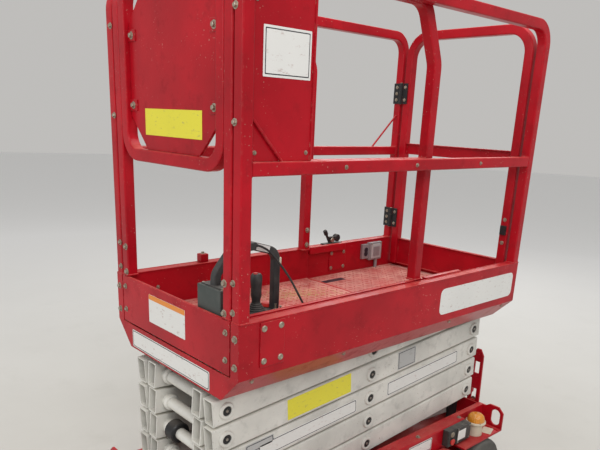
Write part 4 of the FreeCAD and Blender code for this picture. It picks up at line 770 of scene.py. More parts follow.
def extension_rails():
    piece = Piece()
    foot = 1.1265
    back = -0.103067
    top = RAIL_TOP - TUBE / 2
    for _, side in SIDES:
        y = side * EXTENSION_Y
        piece.tube([(FRONT_POST, foot), (FRONT_POST, top), (back + 0.084, top), (back, top - 0.189), (back, foot)],
                   0.075, TUBE, "XZ", y, "red")
        piece.box((back + 0.019, FRONT_POST - 0.019), (y - 0.019, y + 0.019), (MID_RAIL - TUBE, MID_RAIL),
                  "red", 0.005, 3)
        for post in (back, FRONT_POST):
            post_foot(piece, post, y, foot - 0.0002)
        for z in (1.229, 1.140):
            piece.bolt((FRONT_POST + 0.019, side * 0.296, z), (1, 0, 0), 0.0075)
        for z in (1.215, 1.150):
            piece.bolt((back, side * (EXTENSION_Y - 0.019), z), (0, -side, 0), 0.0075)
        for z in (MID_RAIL, MID_RAIL - TUBE):
            piece.rod((back + 0.019, y - 0.016, z), (back + 0.019, y + 0.016, z), 0.0028, "red", 8)
    piece.build("extension_side_rails", "extension", ["extension_rails"])


def front_guard():
    """Closed tube loop with the folded sheet, its tabs, bolts and a blank plate."""
    piece = Piece()
    reach = 0.2677
    low = MID_RAIL - TUBE / 2
    top = RAIL_TOP - TUBE / 2
    middle = (low + top) / 2
    x = FRONT_POST
    piece.tube([(reach, middle), (reach, top), (-reach, top), (-reach, middle)], 0.07, TUBE, "YZ", x, "red")
    piece.tube([(-reach, middle), (-reach, low), (reach, low), (reach, middle)], 0.07, TUBE, "YZ", x, "red")
    for side in (1, -1):
        piece.rod((x, side * 0.2867, middle), (x, side * 0.2875, middle), 0.012, "red", 16, 0.0002)
    piece.build("front_loop", "extension", ["front_frame"])
    edge, base, crown, snip = 0.2484, 1.567182, 2.041582, 0.100
    panel = Piece()
    panel.solid([(-edge + snip, base), (edge - snip, base), (edge, base + snip), (edge, crown - snip),
                 (edge - snip, crown), (-edge + snip, crown), (-edge, crown - snip), (-edge, base + snip)],
                x - 0.002, x + 0.002, "x", "red", 0.0008, 1)
    for side in (1, -1):
        for z in (1.905, 1.700):
            panel.box((x + 0.002, x + 0.006), mirrored(side, (0.205, 0.249)), (z - 0.017, z + 0.017), "red", 0.0015)
            panel.bolt((x + 0.006, side * 0.226, z), (1, 0, 0), 0.0075)
            panel.bolt((x - 0.002, side * 0.226, z), (-1, 0, 0), 0.0075)
    for side in (1, -1):
        panel.rod((x - 0.004, side * (edge - snip), base + 0.004), (x - 0.004, side * (edge - 0.002), base + snip),
                  0.0035, "red", 8)
    panel.label((x + 0.0024, 0.002, 1.652), (0, 1, 0), (0, 0, 1), (0.320, 0.079), "yellow", None, 0.001)
    panel.label((x - 0.0024, 0.0, 1.80), (0, -1, 0), (0, 0, 1), (0.20, 0.14))
    panel.build("front_panel", "extension", ["front_sheet"])


def document_panel():
    piece = Piece()
    low, high, edge = 1.567182, 2.041582, 0.711633
    piece.solid([(edge - 0.214, low), (edge, low), (edge, high - 0.056), (edge - 0.056, high), (edge - 0.214, high)],
                0.348, 0.352, "y", "red", 0.0008, 1)
    piece.box((edge - 0.220, edge - 0.213), (0.344, 0.356), (low, high), "red", 0.0015)
    y = 0.3524
    piece.label((0.590, y, 1.843), (-1, 0, 0), (0, 0, 1), (0.166, 0.124), "white", "ink", 0.002, 0.006)
    for x in (0.512, 0.695):
        for z in (1.59, 2.00 if x < 0.6 else 1.96):
            piece.bolt((x, 0.352, z), (0, 1, 0), 0.004)
    piece.build("document_board", "platform", ["document_panel"])


def gate():
    piece = Piece()
    foot = DECK_FLOOR + 0.016
    top = RAIL_TOP - 0.002 - TUBE / 2
    piece.tube([(0.300, foot), (0.300, top), (-0.297, top), (-0.297, foot)], 0.095, TUBE, "YZ", REAR_POST, "red")
    x = (REAR_POST - 0.002, REAR_POST + 0.002)
    piece.box(x, (-0.280, 0.283), (MID_RAIL - 0.031, MID_RAIL + 0.019), "red", 0.001)
    piece.box((x[0] - 0.010, x[1] + 0.010), (-0.280, 0.283), (MID_RAIL + 0.015, MID_RAIL + 0.019), "red", 0.001)
    piece.box(x, (-0.280, 0.283), (foot, WALL_TOP + 0.002), "red", 0.001)
    for z in (foot, WALL_TOP - 0.002):
        piece.box((x[0] - 0.008, x[1] + 0.008), (-0.280, 0.283), (z, z + 0.004), "red", 0.001)
    for low in (WALL_TOP + 0.057, MID_RAIL + 0.198):
        leaf = (-0.7117, -0.7057)
        piece.box(leaf, (-0.3145, -0.290), (low, low + 0.092), "black", 0.001)
        piece.box(leaf, (-0.324, -0.314), (low + 0.0310, low + 0.0610), "black", 0.0005)
        piece.lathe([(0.0085, 0), (0.009, 0.0005), (0.009, 0.0295), (0.0085, 0.030)],
                    (-0.702033, -0.324, low + 0.0310), (0, 0, 1), "black", 24)
        for step in (0.018, 0.074):
            piece.bolt((leaf[1], -0.302, low + step), (1, 0, 0), 0.0048)
    for z in (1.20, 1.30):
        piece.bolt((REAR_POST + 0.019, 0.300, z), (1, 0, 0), 0.0055)
    piece.box((REAR_POST + 0.019, REAR_POST + 0.027), (0.286, 0.314), (1.235, 1.275), "black", 0.002)
    piece.build("gate_panel", "gate", ["entry_gate"])
    hinge = Piece()
    for low in (WALL_TOP + 0.057, MID_RAIL + 0.198):
        for step in (0.018, 0.046, 0.074):
            hinge.bolt((-0.7057, -0.351, low + step), (1, 0, 0), 0.0048)
        for height in (low, low + 0.092):
            hinge.lathe([(0.0050, 0), (0.0062, 0.0008), (0.0050, 0.0022)],
                        (-0.702033, -0.324, height - (0.0022 if height == low else 0)), (0, 0, 1), "zinc", 16)
    hinge.build("gate_hinge_bolts", "platform")


def tread(piece, x, y, z, pitch=0.028, skip=None):
    """Raised lozenges of a checker plate, turned alternately."""
    rows = int((x[1] - x[0]) / pitch)
    lines = int((y[1] - y[0]) / pitch)
    for row in range(rows):
        for line in range(lines):
            cx = x[0] + (row + 0.5) * pitch
            cy = y[0] + (line + 0.5) * pitch
            if skip and skip(cx, cy):
                continue
            turn = math.radians(45 if (row + line) % 2 else -45)
            along = Vector((math.cos(turn), math.sin(turn), 0)) * 0.0125
            across = Vector((-math.sin(turn), math.cos(turn), 0)) * 0.0042
            at = Vector((cx, cy, z))
            low = [at + along, at + across, at - along, at - across]
            high = [at + p * 0.6 + Vector((0, 0, 0.0020)) for p in (along, across, -along, -across)]
            faces = [(0, 1, 5, 4), (1, 2, 6, 5), (2, 3, 7, 6), (3, 0, 4, 7), (4, 5, 6, 7)]
            piece.put(low + high, faces, "tread")


def deck_details():
    """Tread, folds, bolts and blank stickers of the fixed deck."""
    piece = Piece()
    tread(piece, (-0.700, -0.160), (-0.320, 0.320), DECK_FLOOR,
          skip=lambda x, y: -0.30 < x < -0.17 and -0.26 < y < -0.215)
    piece.box((-0.300, -0.170), (-0.256, -0.222), (DECK_FLOOR + 0.0002, DECK_FLOOR + 0.0012), "ink", 0.0003)
    piece.box((-0.738, -0.142), (-0.3295, 0.3295), (DECK_FLOOR, DECK_FLOOR + 0.0006), "floor", 0.0003)
    piece.box((-0.7519, -0.7470), (-0.3305, 0.3305), (0.9480, DECK_FLOOR + 0.0125), "red", 0.0012)
    piece.build("deck_tread", "platform")
    piece = Piece()
    for _, side in SIDES:
        piece.box((-0.745, 0.738), mirrored(side, (0.3655, 0.3702)), (WALL_TOP - 0.004, WALL_TOP + 0.0012), "red", 0.0012)
        piece.box((-0.745, 0.738), mirrored(side, (0.3300, 0.3345)), (WALL_TOP - 0.004, WALL_TOP + 0.0012), "red", 0.0012)
        piece.box((-0.377, -0.150), mirrored(side, (0.311, 0.331)), (1.096, 1.128), "red", 0.003)
        for z in (1.077, 0.990):
            piece.bolt((DECK_FRONT, side * 0.352, z), (1, 0, 0), 0.0075)
            piece.bolt((DECK_REAR, side * 0.352, z), (-1, 0, 0), 0.0075)
        for x in (0.69, 0.30, -0.30, -0.69):
            piece.bolt((x, side * (0.3695 - 0.0172), PANEL_Z - 0.0170), (0, side, -1), 0.005)
    piece.box((-0.396, -0.289), (-0.331, -0.327), (0.999, 1.095), "red", 0.0015)
    for x in (-0.383, -0.302):
        for z in (1.012, 1.082):
            piece.lathe([(0.0085, 0), (0.0085, 0.002), (0.0060, 0.0040)], (x, -0.327, z), (0, 1, 0), "zinc", 18)
    y = 0.3693
    piece.sheet((-0.462, y, 1.031), (-1, 0, 0), (0, 0, 1), (0.520, 0.104), 0.022, "white", 0.0005)
    piece.sheet((-0.462, -y, 1.031), (1, 0, 0), (0, 0, 1), (0.520, 0.104), 0.022, "white", 0.0005)
    piece.label((DECK_FRONT + 0.0004, -0.022, 0.902), (0, 1, 0), (0, 0, 1), (0.490, 0.064))
    piece.label((-0.030, -0.3306, 1.060), (-1, 0, 0), (0, 0, 1), (0.12, 0.075))
    piece.label((DECK_REAR - 0.0004, 0.0, 0.905), (0, -1, 0), (0, 0, 1), (0.30, 0.05))
    latch_pedal(piece)
    piece.box((0.380, 0.415), (-0.366, -0.334), (WALL_TOP + 0.0005, WALL_TOP + 0.034), "red", 0.004)
    piece.bolt((0.3975, -0.350, WALL_TOP + 0.034), (0, 0, 1), 0.0065)
    piece.build("deck_fittings", "platform")


def cover_plate():
    """Bolted cover on the left side panel."""
    piece = Piece()
    piece.box((0.5839, 0.6759), (0.3692, 0.3730), (0.9779, 1.1169), "red", 0.0014)
    for x in (0.598, 0.662):
        for z in (0.997, 1.098):
            piece.lathe([(0.0100, 0), (0.0100, 0.0012), (0.0085, 0.0030), (0.0048, 0.0034), (0.0042, 0.0022)],
                        (x, 0.3728, z), (0, 1, 0), "zinc", 20)
    piece.build("bolted_cover", "platform", ["side_cover"])


def latch_pedal(piece):
    """Black stop latch of the roll-out deck on the right wall."""
    z = WALL_TOP + 0.0012
    piece.box((-0.378, -0.262), (-0.364, -0.336), (z, z + 0.005), "black", 0.0015)
    piece.rod((-0.350, -0.362, z + 0.026), (-0.350, -0.338, z + 0.026), 0.017, "black", 24, 0.003)
    piece.rod((-0.318, -0.360, z + 0.018), (-0.318, -0.340, z + 0.018), 0.012, "zinc", 20, 0.002)
    piece.box((-0.352, -0.300), (-0.358, -0.342), (z + 0.022, z + 0.034), "black", 0.003)
    piece.rod((-0.306, -0.350, z + 0.006), (-0.280, -0.350, z + 0.052), 0.006, "black", 14)
    piece.rod((-0.284, -0.350, z + 0.044), (-0.272, -0.350, z + 0.066), 0.010, "black", 16, 0.003)


def extension_details():
    """Tread, wall folds, sticker and debris of the roll-out deck."""
    piece = Piece()
    tread(piece, (-0.120, 0.735), (-0.300, 0.300), ROLL_OUT_TOP,
          skip=lambda x, y: (x > 0.418 and 0.128 < y < 0.274) or (0.37 < x < 0.40 and y > 0.27))
    piece.box((-0.134, 0.747), (-0.3118, 0.3118), (ROLL_OUT_TOP, ROLL_OUT_TOP + 0.0005), "floor", 0.0002)
    piece.build("extension_tread", "extension")
    piece = Piece()
    for _, side in SIDES:
        piece.box((-0.135, 0.742), mirrored(side, (0.3105, 0.3150)), (1.1225, 1.1268), "red", 0.0012)
        for x in (0.05, 0.35, 0.62):
            piece.bolt((x, side * 0.313, 1.060), (0, -side, 0), 0.005)
    piece.box((0.7435, 0.7490), (-0.318, 0.318), (1.1165, 1.1232), "red", 0.0015)
    piece.box((-0.1385, -0.130), (-0.300, 0.300), (ROLL_OUT_TOP - 0.001, ROLL_OUT_TOP + 0.0022), "red", 0.001)
    x = DECK_FRONT + 0.0004
    piece.label((x, -0.026, 1.046), (0, 1, 0), (0, 0, 1), (0.228, 0.098), "white", None, 0.003)
    piece.sheet((x + 0.0004, -0.026, 1.086), (0, 1, 0), (0, 0, 1), (0.226, 0.017), 0.002, "orange", 0.0003)
    for _, side in SIDES:
        for z in (1.085, 1.000):
            piece.bolt((DECK_FRONT, side * 0.306, z), (1, 0, 0), 0.0065)
    piece.build("extension_fittings", "extension")
    grains = Piece()
    for _ in range(1500):
        spread = dice.gauss(0, 1)
        x = 0.075 + 0.085 * spread
        y = -0.130 + 0.045 * dice.gauss(0, 1) - 0.02 * spread
        size = dice.uniform(0.0010, 0.0032)
        turn = dice.uniform(0, math.pi)
        cos, sin = math.cos(turn) * size, math.sin(turn) * size
        z = ROLL_OUT_TOP + 0.0002
        if not -0.12 < x < 0.40:
            continue
        points = [(x + cos, y + sin, z), (x - sin * 0.6, y + cos * 0.6, z), (x - cos, y - sin, z),
                  (x + sin * 0.6, y - cos * 0.6, z), (x, y, z + size * 0.9)]
        grains.put(points, [(0, 1, 4), (1, 2, 4), (2, 3, 4), (3, 0, 4)], "crumbs")
    grains.build("floor_debris", "extension")


def outlet():
    """Power outlet with its flap on the right wall."""
    low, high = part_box("outlet_box")
    piece = Piece()
    x, y, z = (low.x, high.x), (low.y, high.y), (low.z, high.z)
    piece.box((x[0], x[1] - 0.045), (y[0], y[1] - 0.006), z, "casting", 0.003)
    piece.box((x[1] - 0.052, x[1]), (y[0], y[1] - 0.012), (z[0] + 0.010, z[1] - 0.006), "casting", 0.002)
    piece.box((x[0] + 0.010, x[1] - 0.056), (y[1] - 0.0065, y[1] - 0.002), (z[0] + 0.008, z[1] - 0.008), "silver", 0.003)
    piece.box((x[0] + 0.022, x[1] - 0.068), (y[1] - 0.0025, y[1]), (z[0] + 0.020, z[1] - 0.020), "casting", 0.002)
    for cz in (z[0] + 0.035, z[1] - 0.035):
        piece.lathe([(0.013, 0), (0.013, 0.0012), (0.010, 0.0016)],
                    (x[1] - 0.026, y[1] - 0.012, cz), (0, 1, 0), "ink", 24)
    for cx in (x[0] + 0.014, x[1] - 0.060):
        piece.bolt((cx, y[1] - 0.004, z[1] - 0.006), (0, 1, 0), 0.003)
    piece.rod((x[0] + 0.03, (y[0] + y[1]) / 2 - 0.003, z[0] - 0.055),
              (x[0] + 0.03, (y[0] + y[1]) / 2 - 0.003, z[0] + 0.002), 0.008, "casting", 18)
    piece.build("power_outlet", "platform", ["outlet_box"])


def controller():
    """Console, guard hoop, joystick with its gaiter, buttons and blank labels."""
    low = ROLL_OUT_TOP + 0.0003
    shelf = low + 0.095
    back, front = DECK_FRONT - 0.322, DECK_FRONT - 0.012
    head = front - 0.077
    y = (0.140, 0.262)
    middle = 0.201
    piece = Piece()
    piece.solid([(back, low), (front, low), (front, low + 0.205), (head, low + 0.205), (head - 0.025, shelf),
                 (back + 0.040, shelf), (back, shelf - 0.035)], y[0], y[1], "y", "panel", 0.004, 3)
    piece.box((head + 0.008, front - 0.008), (y[0] + 0.010, y[1] - 0.010), (low + 0.204, low + 0.209), "plastic", 0.0025)
    piece.tube([(front - 0.026, low + 0.200), (front - 0.026, low + 0.240), (front - 0.101, low + 0.330),
                (back + 0.055, low + 0.285), (back + 0.055, shelf - 0.005)], 0.040, 0.026, "XZ", middle,
               "plastic", 0.006)
    stick = back + 0.130
    rings = [(0.034, 0.0), (0.035, 0.003)]
    for fold in range(5):
        radius = 0.032 - 0.0036 * fold
        rings += [(radius, 0.006 + 0.006 * fold), (radius - 0.004, 0.009 + 0.006 * fold)]
    rings.append((0.0145, 0.036))
    piece.lathe(rings, (stick, middle, shelf - 0.0005), (0, 0, 1), "boot", 32)
    grip = shelf + 0.032
    piece.lathe([(0.0135, 0), (0.0145, 0.012), (0.0175, 0.026), (0.0165, 0.042), (0.0178, 0.058), (0.019, 0.074),
                 (0.0185, 0.088), (0.014, 0.0945), (0.006, 0.095)], (stick, middle, grip), (0, 0, 1), "plastic", 28)
    piece.box((stick - 0.0175, stick - 0.010), (middle - 0.006, middle + 0.006), (grip + 0.030, grip + 0.062),
              "boot", 0.002)
    piece.lathe([(0.007, 0), (0.007, 0.004), (0.005, 0.0055)], (stick + 0.004, middle, grip + 0.0935), (0, 0, 1),
                "stop", 16)
    piece.lathe([(0.0125, 0), (0.0125, 0.003)], (back + 0.060, y[0] + 0.030, shelf), (0, 0, 1), "silver", 24)
    piece.lathe([(0.018, 0.002), (0.019, 0.006), (0.017, 0.014), (0.008, 0.017)],
                (back + 0.060, y[0] + 0.030, shelf), (0, 0, 1), "stop", 26)
    for step in range(2):
        at = (back + 0.060, y[1] - 0.022 - 0.026 * step, shelf)
        piece.lathe([(0.009, 0), (0.009, 0.003), (0.0035, 0.0045), (0.0030, 0.016), (0.0042, 0.020)], at, (0, 0, 1),
                    "zinc", 16)
    piece.label((head + 0.030, y[1] + 0.0004, low + 0.150), (-1, 0, 0), (0, 0, 1), (0.048, 0.070), "white", None)
    piece.label((back + 0.150, y[1] + 0.0004, low + 0.045), (-1, 0, 0), (0, 0, 1), (0.120, 0.045), "silver", None)
    slope = Vector((-0.160, 0, -0.045)).normalized()
    lift = Vector((slope.z, 0, -slope.x))
    crown = Vector((front - 0.101, middle + 0.0133, low + 0.330)) + slope * 0.095
    piece.label(crown, slope, lift, (0.056, 0.020), "white", None, 0.002)
    end = Vector((back + 0.055, 0, low + 0.285))
    piece.box((end.x - 0.0150, end.x - 0.006), (middle - 0.0142, middle + 0.0142), (end.z - 0.045, end.z - 0.018),
              "cream", 0.003)
    piece.box((0.590, 0.614), (0.201, 0.237), (1.296, 1.320), "plastic", 0.003)
    piece.lathe([(0.0070, 0), (0.0070, 0.006), (0.0052, 0.0065), (0.0052, 0.0130)], (0.591, 0.225, 1.308), (-1, 0, 0),
                "boot", 20)
    for x in (back + 0.015, front - 0.015):
        for across in (y[0] + 0.012, y[1] - 0.012):
            piece.bolt((x, across, low + (0.060 if x < 0.5 else 0.205)), (0, 0, 1), 0.0040)
    piece.build("control_station", "extension", ["controller"])


def lead():
    """The controller's lead, from its boss to the gland on the floor, and the floor gland's cap."""
    curve = bpy.data.curves.new("station_lead", "CURVE")
    curve.dimensions = "3D"
    curve.bevel_depth = 0.0035
    curve.bevel_resolution = 4
    curve.resolution_u = 16
    spline = curve.splines.new("NURBS")
    spline.points.add(len(LEAD) - 1)
    for point, place in zip(spline.points, LEAD):
        point.co = (*place, 1)
    spline.order_u = 3
    spline.use_endpoint_u = True
    curve.materials.append(M["boot"])
    flex = bpy.data.objects.new("station_lead", curve)
    bpy.context.scene.collection.objects.link(flex)
    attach(flex, "extension")
    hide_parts("controller_lead")
    cap = Piece()
    cap.lathe([(0.0115, 0), (0.0115, 0.005), (0.0090, 0.0062), (0.0073, 0.0065), (0.0073, 0.0110), (0.0055, 0.0122)],
              (LEAD[-1][0], LEAD[-1][1], ROLL_OUT_TOP), (0, 0, 1), "boot", 24)
    cap.build("lead_floor_cap", "extension")


# Chassis
def wheel(corner, side, x, carrier):
    """Tyre with worn bands, dished rim with nuts, and the axle's nut."""
    axis = (0, side, 0)
    at = (x, side * 0.360, TYRE_RADIUS)
    half = 0.045
    piece = Piece()
    piece.lathe([(0.0957, -half + 0.004), (0.118, -half + 0.002), (0.121, -half + 0.0035), (0.136, -half + 0.0015),
                 (0.1425, -half + 0.003), (0.1485, -half + 0.009), (0.1515, -half + 0.018), (0.1520, -0.012),
                 (0.1505, -0.0105), (0.1505, -0.0085), (0.1520, -0.007), (0.1520, 0.007), (0.1505, 0.0085),
                 (0.1505, 0.0105), (0.1520, 0.012), (0.1515, half - 0.018), (0.1485, half - 0.009),
                 (0.1425, half - 0.003), (0.136, half - 0.0015), (0.121, half - 0.0035), (0.118, half - 0.002),
                 (0.0957, half - 0.004)], at, axis, "rubber", 84, hollow=True)
    piece.build(corner + "_tyre_skin", "wheel_" + corner, [corner + "_tyre"])
    piece = Piece()
    piece.lathe([(0.0206, -0.030), (0.050, -0.030), (0.050, -0.008), (0.078, -0.008), (0.088, -0.036),
                 (0.0955, -0.041), (0.0955, 0.038), (0.0930, 0.0408), (0.0895, 0.0395), (0.0870, 0.030),
                 (0.0800, 0.0075), (0.0700, 0.0055), (0.0480, 0.0068), (0.0435, 0.0120), (0.0410, 0.0255),
                 (0.0385, 0.0278), (0.0300, 0.0280), (0.0206, 0.0270)], at, axis, "rim", 60, hollow=True)
    for step in range(5):
        angle = 2 * math.pi * step / 5 + 0.30
        spot = (x + 0.0605 * math.cos(angle), at[1] + side * 0.0062, TYRE_RADIUS + 0.0605 * math.sin(angle))
        piece.bolt(spot, axis, 0.0078)
        angle += 0.63
        spot = (x + 0.0605 * math.cos(angle), at[1] + side * 0.0058, TYRE_RADIUS + 0.0605 * math.sin(angle))
        piece.lathe([(0.0062, 0), (0.0062, 0.0012), (0.0045, 0.0013)], spot, axis, "black", 16)
    piece.build(corner + "_rim_detail", "wheel_" + corner, [corner + "_rim"])
    piece = Piece()
    piece.lathe([(0.0150, 0.0215), (0.0150, 0.0290), (0.0135, 0.0305)], at, axis, "zinc", 6)
    piece.lathe([(0.0085, 0.030), (0.0085, 0.0350), (0.0070, 0.0362)], at, axis, "steel", 20)
    piece.rod((x - 0.0125, at[1] + side * 0.0328, TYRE_RADIUS), (x + 0.0125, at[1] + side * 0.0328, TYRE_RADIUS),
              0.0015, "steel", 8, 0.0003)
    piece.build(corner + "_axle_nut", carrier)


def end_plate_details():
    """Edge beads, bolts and blank plates on both chassis ends and the fenders."""
    piece = Piece()
    for x in (FRONT_END - 0.009, LADDER_X + 0.009):
        piece.rod((x, -0.264, 0.3205), (x, 0.264, 0.3205), 0.004, "red", 8)
    for _, side in SIDES:
        for x in (-0.745, 0.778):
            piece.rod((x, side * 0.3255, 0.3215), (x, side * 0.3980, 0.3215), 0.0035, "red", 8)
        for x in (-0.55, -0.25, 0.05, 0.35, 0.65):
            piece.bolt((x, side * 0.302, FLOOR_TOP + 0.090), (0, 0, 1), 0.0065)
    y = 0.3244
    piece.label((-0.243, y, 0.367), (-1, 0, 0), (0, 0, 1), (0.158, 0.058))
    piece.label((0.260, y, 0.367), (-1, 0, 0), (0, 0, 1), (0.300, 0.058))
    piece.label((0.260, -y, 0.367), (1, 0, 0), (0, 0, 1), (0.300, 0.058))
    piece.label((-0.705, 0.364, 0.3204), (-0.35, 1, 0), (-1, -0.35, 0), (0.046, 0.066), "cream", None, 0.002)
    piece.label((-0.243, -y, 0.367), (1, 0, 0), (0, 0, 1), (0.158, 0.058))
    piece.build("chassis_fittings", "chassis")


def ladder_details():
    """Anti-slip ribs on the steps and weld beads behind them."""
    piece = Piece()
    for low in (0.435, 0.600):
        for row in range(3):
            x = -0.801 + 0.009 * row
            piece.rod((x, -0.205, low + 0.0262), (x, 0.205, low + 0.0262), 0.0016, "red", 8, 0.0004)
        for count in range(26):
            y = -0.200 + 0.016 * count
            piece.rod((-0.8025, y, low + 0.0262), (-0.7775, y, low + 0.0262), 0.0012, "red", 6, 0.0003)
    for _, side in SIDES:
        for z in (0.360, 0.412):
            piece.bolt((-0.7811, side * 0.226, z), (-1, 0, 0), 0.0075)
    piece.build("ladder_grips", "chassis")


def beacon():
    """Flashing lamp: dusty base, ringed rim and a ribbed amber lens."""
    low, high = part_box("beacon")
    centre = ((low.x + high.x) / 2, (low.y + high.y) / 2)
    at = (centre[0], centre[1], low.z)
    piece = Piece()
    piece.lathe([(0.0335, 0), (0.0340, 0.002), (0.0330, 0.030), (0.0340, 0.054), (0.0420, 0.0565),
                 (0.0455, 0.0590), (0.0458, 0.0625), (0.0450, 0.0660), (0.0405, 0.0676), (0.0395, 0.0676)],
                at, (0, 0, 1), "cream", 48)
    for step in range(6):
        angle = math.pi * step / 3
        piece.rod((centre[0] + 0.0425 * math.cos(angle), centre[1] + 0.0425 * math.sin(angle), low.z + 0.0655),
                  (centre[0] + 0.0425 * math.cos(angle), centre[1] + 0.0425 * math.sin(angle), low.z + 0.0685),
                  0.0022, "zinc", 10, 0.0004)
    count, rings = 96, 18
    top = high.z - low.z
    points, faces = [], []
    for ring in range(rings + 1):
        share = ring / rings
        height = 0.0670 + (top - 0.0675) * math.sin(share * math.pi / 2)
        reach = 0.0398 * math.cos(share * math.pi / 2) ** 0.55 if ring < rings else 0.0005
        for step in range(count):
            ridge = 0.0006 * (1 if step % 4 < 2 else -1) * min(1.0, reach / 0.02)
            angle = 2 * math.pi * step / count
            radius = max(0.0003, reach + ridge - 0.0006)
            points.append((centre[0] + radius * math.cos(angle), centre[1] + radius * math.sin(angle),
                           low.z + height - 0.0004))
    for ring in range(rings):
        for step in range(count):
            after = (step + 1) % count
            faces.append((ring * count + step, ring * count + after, (ring + 1) * count + after,
                          (ring + 1) * count + step))
    faces.append(tuple(reversed(range(count))))
    faces.append(tuple(range(rings * count, (rings + 1) * count)))
    piece.put(points, faces, "amber")
    piece.build("beacon_lamp", "chassis", ["beacon"])


def control_box():
    """Lower control box with its lid seam, key switch, stop button and blank label."""
    low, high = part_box("control_box")
    x, y, z = (low.x, high.x), (low.y, high.y), (low.z, high.z)
    piece = Piece()
    piece.box(x, (y[0], y[0] + 0.030), z, "plastic", 0.004, 3)
    piece.box((x[0] + 0.0015, x[1] - 0.0015), (y[0] + 0.0295, y[0] + 0.0325), (z[0] + 0.0015, z[1] - 0.0015), "boot", 0.001)
    piece.box((x[0], x[1] - 0.058), (y[0] + 0.032, y[1] - 0.0035), (z[0] + 0.001, z[1] - 0.001), "plastic", 0.0035, 3)
    piece.box((x[1] - 0.055, x[1]), (y[0] + 0.032, y[1] - 0.010), (z[0] + 0.001, z[1] - 0.001), "plastic", 0.0035, 3)
    face = y[1] - 0.0036
    piece.label((x[0] + 0.068, face + 0.0002, z[0] + 0.040), (-1, 0, 0), (0, 0, 1), (0.058, 0.046), "white", None, 0.002)
    for cx in (x[0] + 0.010, x[1] - 0.066):
        for cz in (z[0] + 0.010, z[1] - 0.010):
            piece.bolt((cx, face - 0.0004, cz), (0, 1, 0), 0.0028, "steel")
    side_face = y[1] - 0.0102
    piece.lathe([(0.0125, 0), (0.0125, 0.003), (0.0110, 0.004), (0.0085, 0.0042), (0.0085, 0.0062), (0.0070, 0.0066)],
                (x[1] - 0.0275, side_face, z[1] - 0.022), (0, 1, 0), "zinc", 28)
    piece.box((x[1] - 0.0285, x[1] - 0.0265), (side_face + 0.005, side_face + 0.0085),
              (z[1] - 0.030, z[1] - 0.014), "steel", 0.0004)
    piece.lathe([(0.0110, 0), (0.0110, 0.0028), (0.0100, 0.0032), (0.0145, 0.0050), (0.0145, 0.0082), (0.0110, 0.0095)],
                (x[1] - 0.0275, side_face, z[0] + 0.022), (0, 1, 0), "stop", 28)
    piece.lathe([(0.0090, 0), (0.0095, 0.001), (0.0080, 0.0018), (0.0060, 0.0018)],
                (x[0] + 0.030, y[0] + 0.018, z[1]), (0, 0, 1), "boot", 20)
    piece.build("ground_control_box", "chassis", ["control_box"])


def tray_details(side_name, side):
    """Latches, louvres, fold lips and hinge heads of a swing-out tray."""
    piece = Piece()
    y = side * 0.400
    out = (0, side, 0)
    for column in range(9):
        x = -0.245 + 0.030 * column
        points = [(x, y - side * 0.0010, 0.180), (x + 0.018, y - side * 0.0010, 0.180),
                  (x + 0.018, y + side * 0.0042, 0.183), (x, y + side * 0.0042, 0.183),
                  (x, y - side * 0.0010, 0.250), (x + 0.018, y - side * 0.0010, 0.250)]
        faces = [(0, 1, 2, 3), (3, 2, 5, 4), (0, 3, 4), (1, 5, 2)]
        piece.put(points, faces, "red")
    for z in (0.170, 0.272):
        piece.box((-0.405, -0.385), mirrored(side, (0.3995, 0.4030)), (z - 0.014, z + 0.014), "black", 0.001)
        piece.lathe([(0.0075, 0), (0.0080, 0.001), (0.0070, 0.0018)], (-0.395, side * 0.4025, z), out, "zinc", 18)
    piece.box((-0.402, 0.404), mirrored(side, (0.3992, 0.4020)), (0.1235, 0.1290), "red", 0.0009)
    piece.box((0.060, 0.110), mirrored(side, (0.3995, 0.4035)), (0.205, 0.235), "black", 0.0015)
    piece.lathe([(0.0080, 0), (0.0080, 0.0004), (0.0062, 0.0008)], (0.085, side * 0.4034, 0.220), out, "steel", 20)
    for z, way in ((0.1305, -1), (0.3194, 1)):
        piece.lathe([(0.0048, 0), (0.0048, 0.0006)], (0.409005, side * 0.394, z + way * 0.0066), (0, 0, way), "zinc", 16)
    piece.label((0.240, y + side * 0.0003, 0.225), (-side, 0, 0), (0, 0, 1), (0.160, 0.060))
    for x in (-0.30, -0.10, 0.10, 0.30):
        piece.bolt((x, side * 0.30, 0.1206), (0, 0, -1), 0.0065)
    piece.build(side_name + "_tray_fittings", "tray_" + side_name)


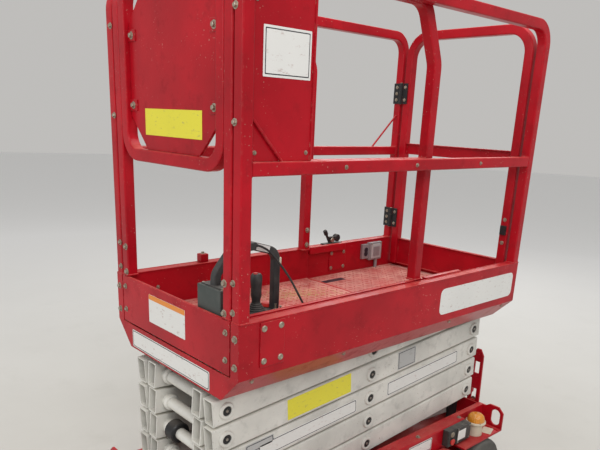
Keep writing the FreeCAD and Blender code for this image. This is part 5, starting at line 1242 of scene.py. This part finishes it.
def axle_details():
    """Caps, nuts and grease points of the steering, and the drive motors' bolts and fins."""
    for side_name, side in SIDES:
        piece = Piece()
        at = (AXLE_X, side * 0.270, 0.0845)
        piece.lathe([(0.0120, 0.0003), (0.0120, -0.006), (0.0100, -0.0075)], at, (0, 0, 1), "zinc", 6)
        piece.lathe([(0.0032, 0), (0.0032, 0.005), (0.0022, 0.006), (0.0030, 0.008)],
                    (AXLE_X, side * 0.3015, 0.1900), (0, side, 0), "zinc", 12)
        piece.box((AXLE_X - 0.020, AXLE_X + 0.020), mirrored(side, (0.297, 0.303)), (0.105, 0.190), "red", 0.002)
        piece.build(side_name + "_knuckle_fittings", "steer_" + side_name)
    piece = Piece()
    for _, side in SIDES:
        for step in range(6):
            angle = math.pi * step / 3 + 0.3
            piece.bolt((-AXLE_X + 0.043 * math.cos(angle), side * 0.2900, TYRE_RADIUS + 0.043 * math.sin(angle)),
                       (0, side, 0), 0.0045)
        piece.box((-AXLE_X - 0.030, -AXLE_X + 0.030), mirrored(side, (0.150, 0.250)), (0.0885, 0.0990), "casting", 0.003)
        for row in range(5):
            piece.box((-AXLE_X - 0.030, -AXLE_X + 0.030), mirrored(side, (0.160 + 0.018 * row, 0.166 + 0.018 * row)),
                      (0.0845, 0.0890), "casting", 0.001)
    piece.build("drive_motors", "chassis")
    piece = Piece()
    for _, side in SIDES:
        piece.lathe([(0.0090, 0), (0.0090, 0.005), (0.0075, 0.006)], (AXLE_X - 0.08, side * 0.270, 0.1200),
                    (0, 0, 1), "zinc", 6)
    piece.build("tie_rod_nuts", "steer_link")


def load_details():
    """Cells and straps of the batteries; tank cap, filter and pipes of the hydraulic block."""
    low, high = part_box("battery_block")
    piece = Piece()
    step = (high.x - low.x) / 4
    for count in range(4):
        x = (low.x + step * count + 0.001, low.x + step * (count + 1) - 0.001)
        piece.box(x, (low.y, high.y), (low.z, high.z - 0.012), "plastic", 0.004)
        piece.box((x[0] + 0.003, x[1] - 0.003), (low.y + 0.004, high.y - 0.004), (high.z - 0.013, high.z - 0.003),
                  "boot", 0.002)
        for cell in range(3):
            piece.lathe([(0.013, 0), (0.013, 0.0015), (0.010, 0.0028)],
                        (x[0] + step * (cell + 0.5) / 3, (low.y + high.y) / 2, high.z - 0.0032), (0, 0, 1), "cream", 20)
    piece.build("battery_cells", "tray_left", ["battery_block"])
    low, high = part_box("hydraulic_block")
    piece = Piece()
    middle = low.x + 0.34
    piece.box((low.x, middle - 0.004), (low.y, high.y), (low.z, high.z - 0.004), "black", 0.006)
    piece.box((middle + 0.004, high.x), (low.y + 0.010, high.y - 0.010), (low.z, high.z - 0.020), "casting", 0.006)
    piece.rod((middle - 0.006, low.y + 0.05, low.z + 0.07), (middle + 0.006, low.y + 0.05, low.z + 0.07), 0.020,
              "zinc", 20)
    piece.lathe([(0.022, 0), (0.022, 0.002), (0.018, 0.0035)], (low.x + 0.08, low.y + 0.06, high.z - 0.0045), (0, 0, 1),
                "plastic", 28)
    for count in range(6):
        x = middle + 0.030 + 0.032 * count
        piece.box((x, x + 0.010), (low.y + 0.004, low.y + 0.012), (low.z + 0.015, high.z - 0.035), "casting", 0.002)
    piece.build("hydraulic_tank", "tray_right", ["hydraulic_block"])


dress_frame()
for level in LEVELS:
    outer_arms(level)
    inner_arms(level)
cylinder_details()
for side_name, side in SIDES:
    guard_rail(side_name, side)
    tray_details(side_name, side)
    wheel("front_" + side_name, side, AXLE_X, "steer_" + side_name)
    wheel("rear_" + side_name, side, -AXLE_X, "chassis")
extension_rails()
front_guard()
document_panel()
gate()
deck_details()
cover_plate()
extension_details()
outlet()
controller()
lead()
end_plate_details()
ladder_details()
beacon()
control_box()
axle_details()
load_details()
make_camera()
studio()
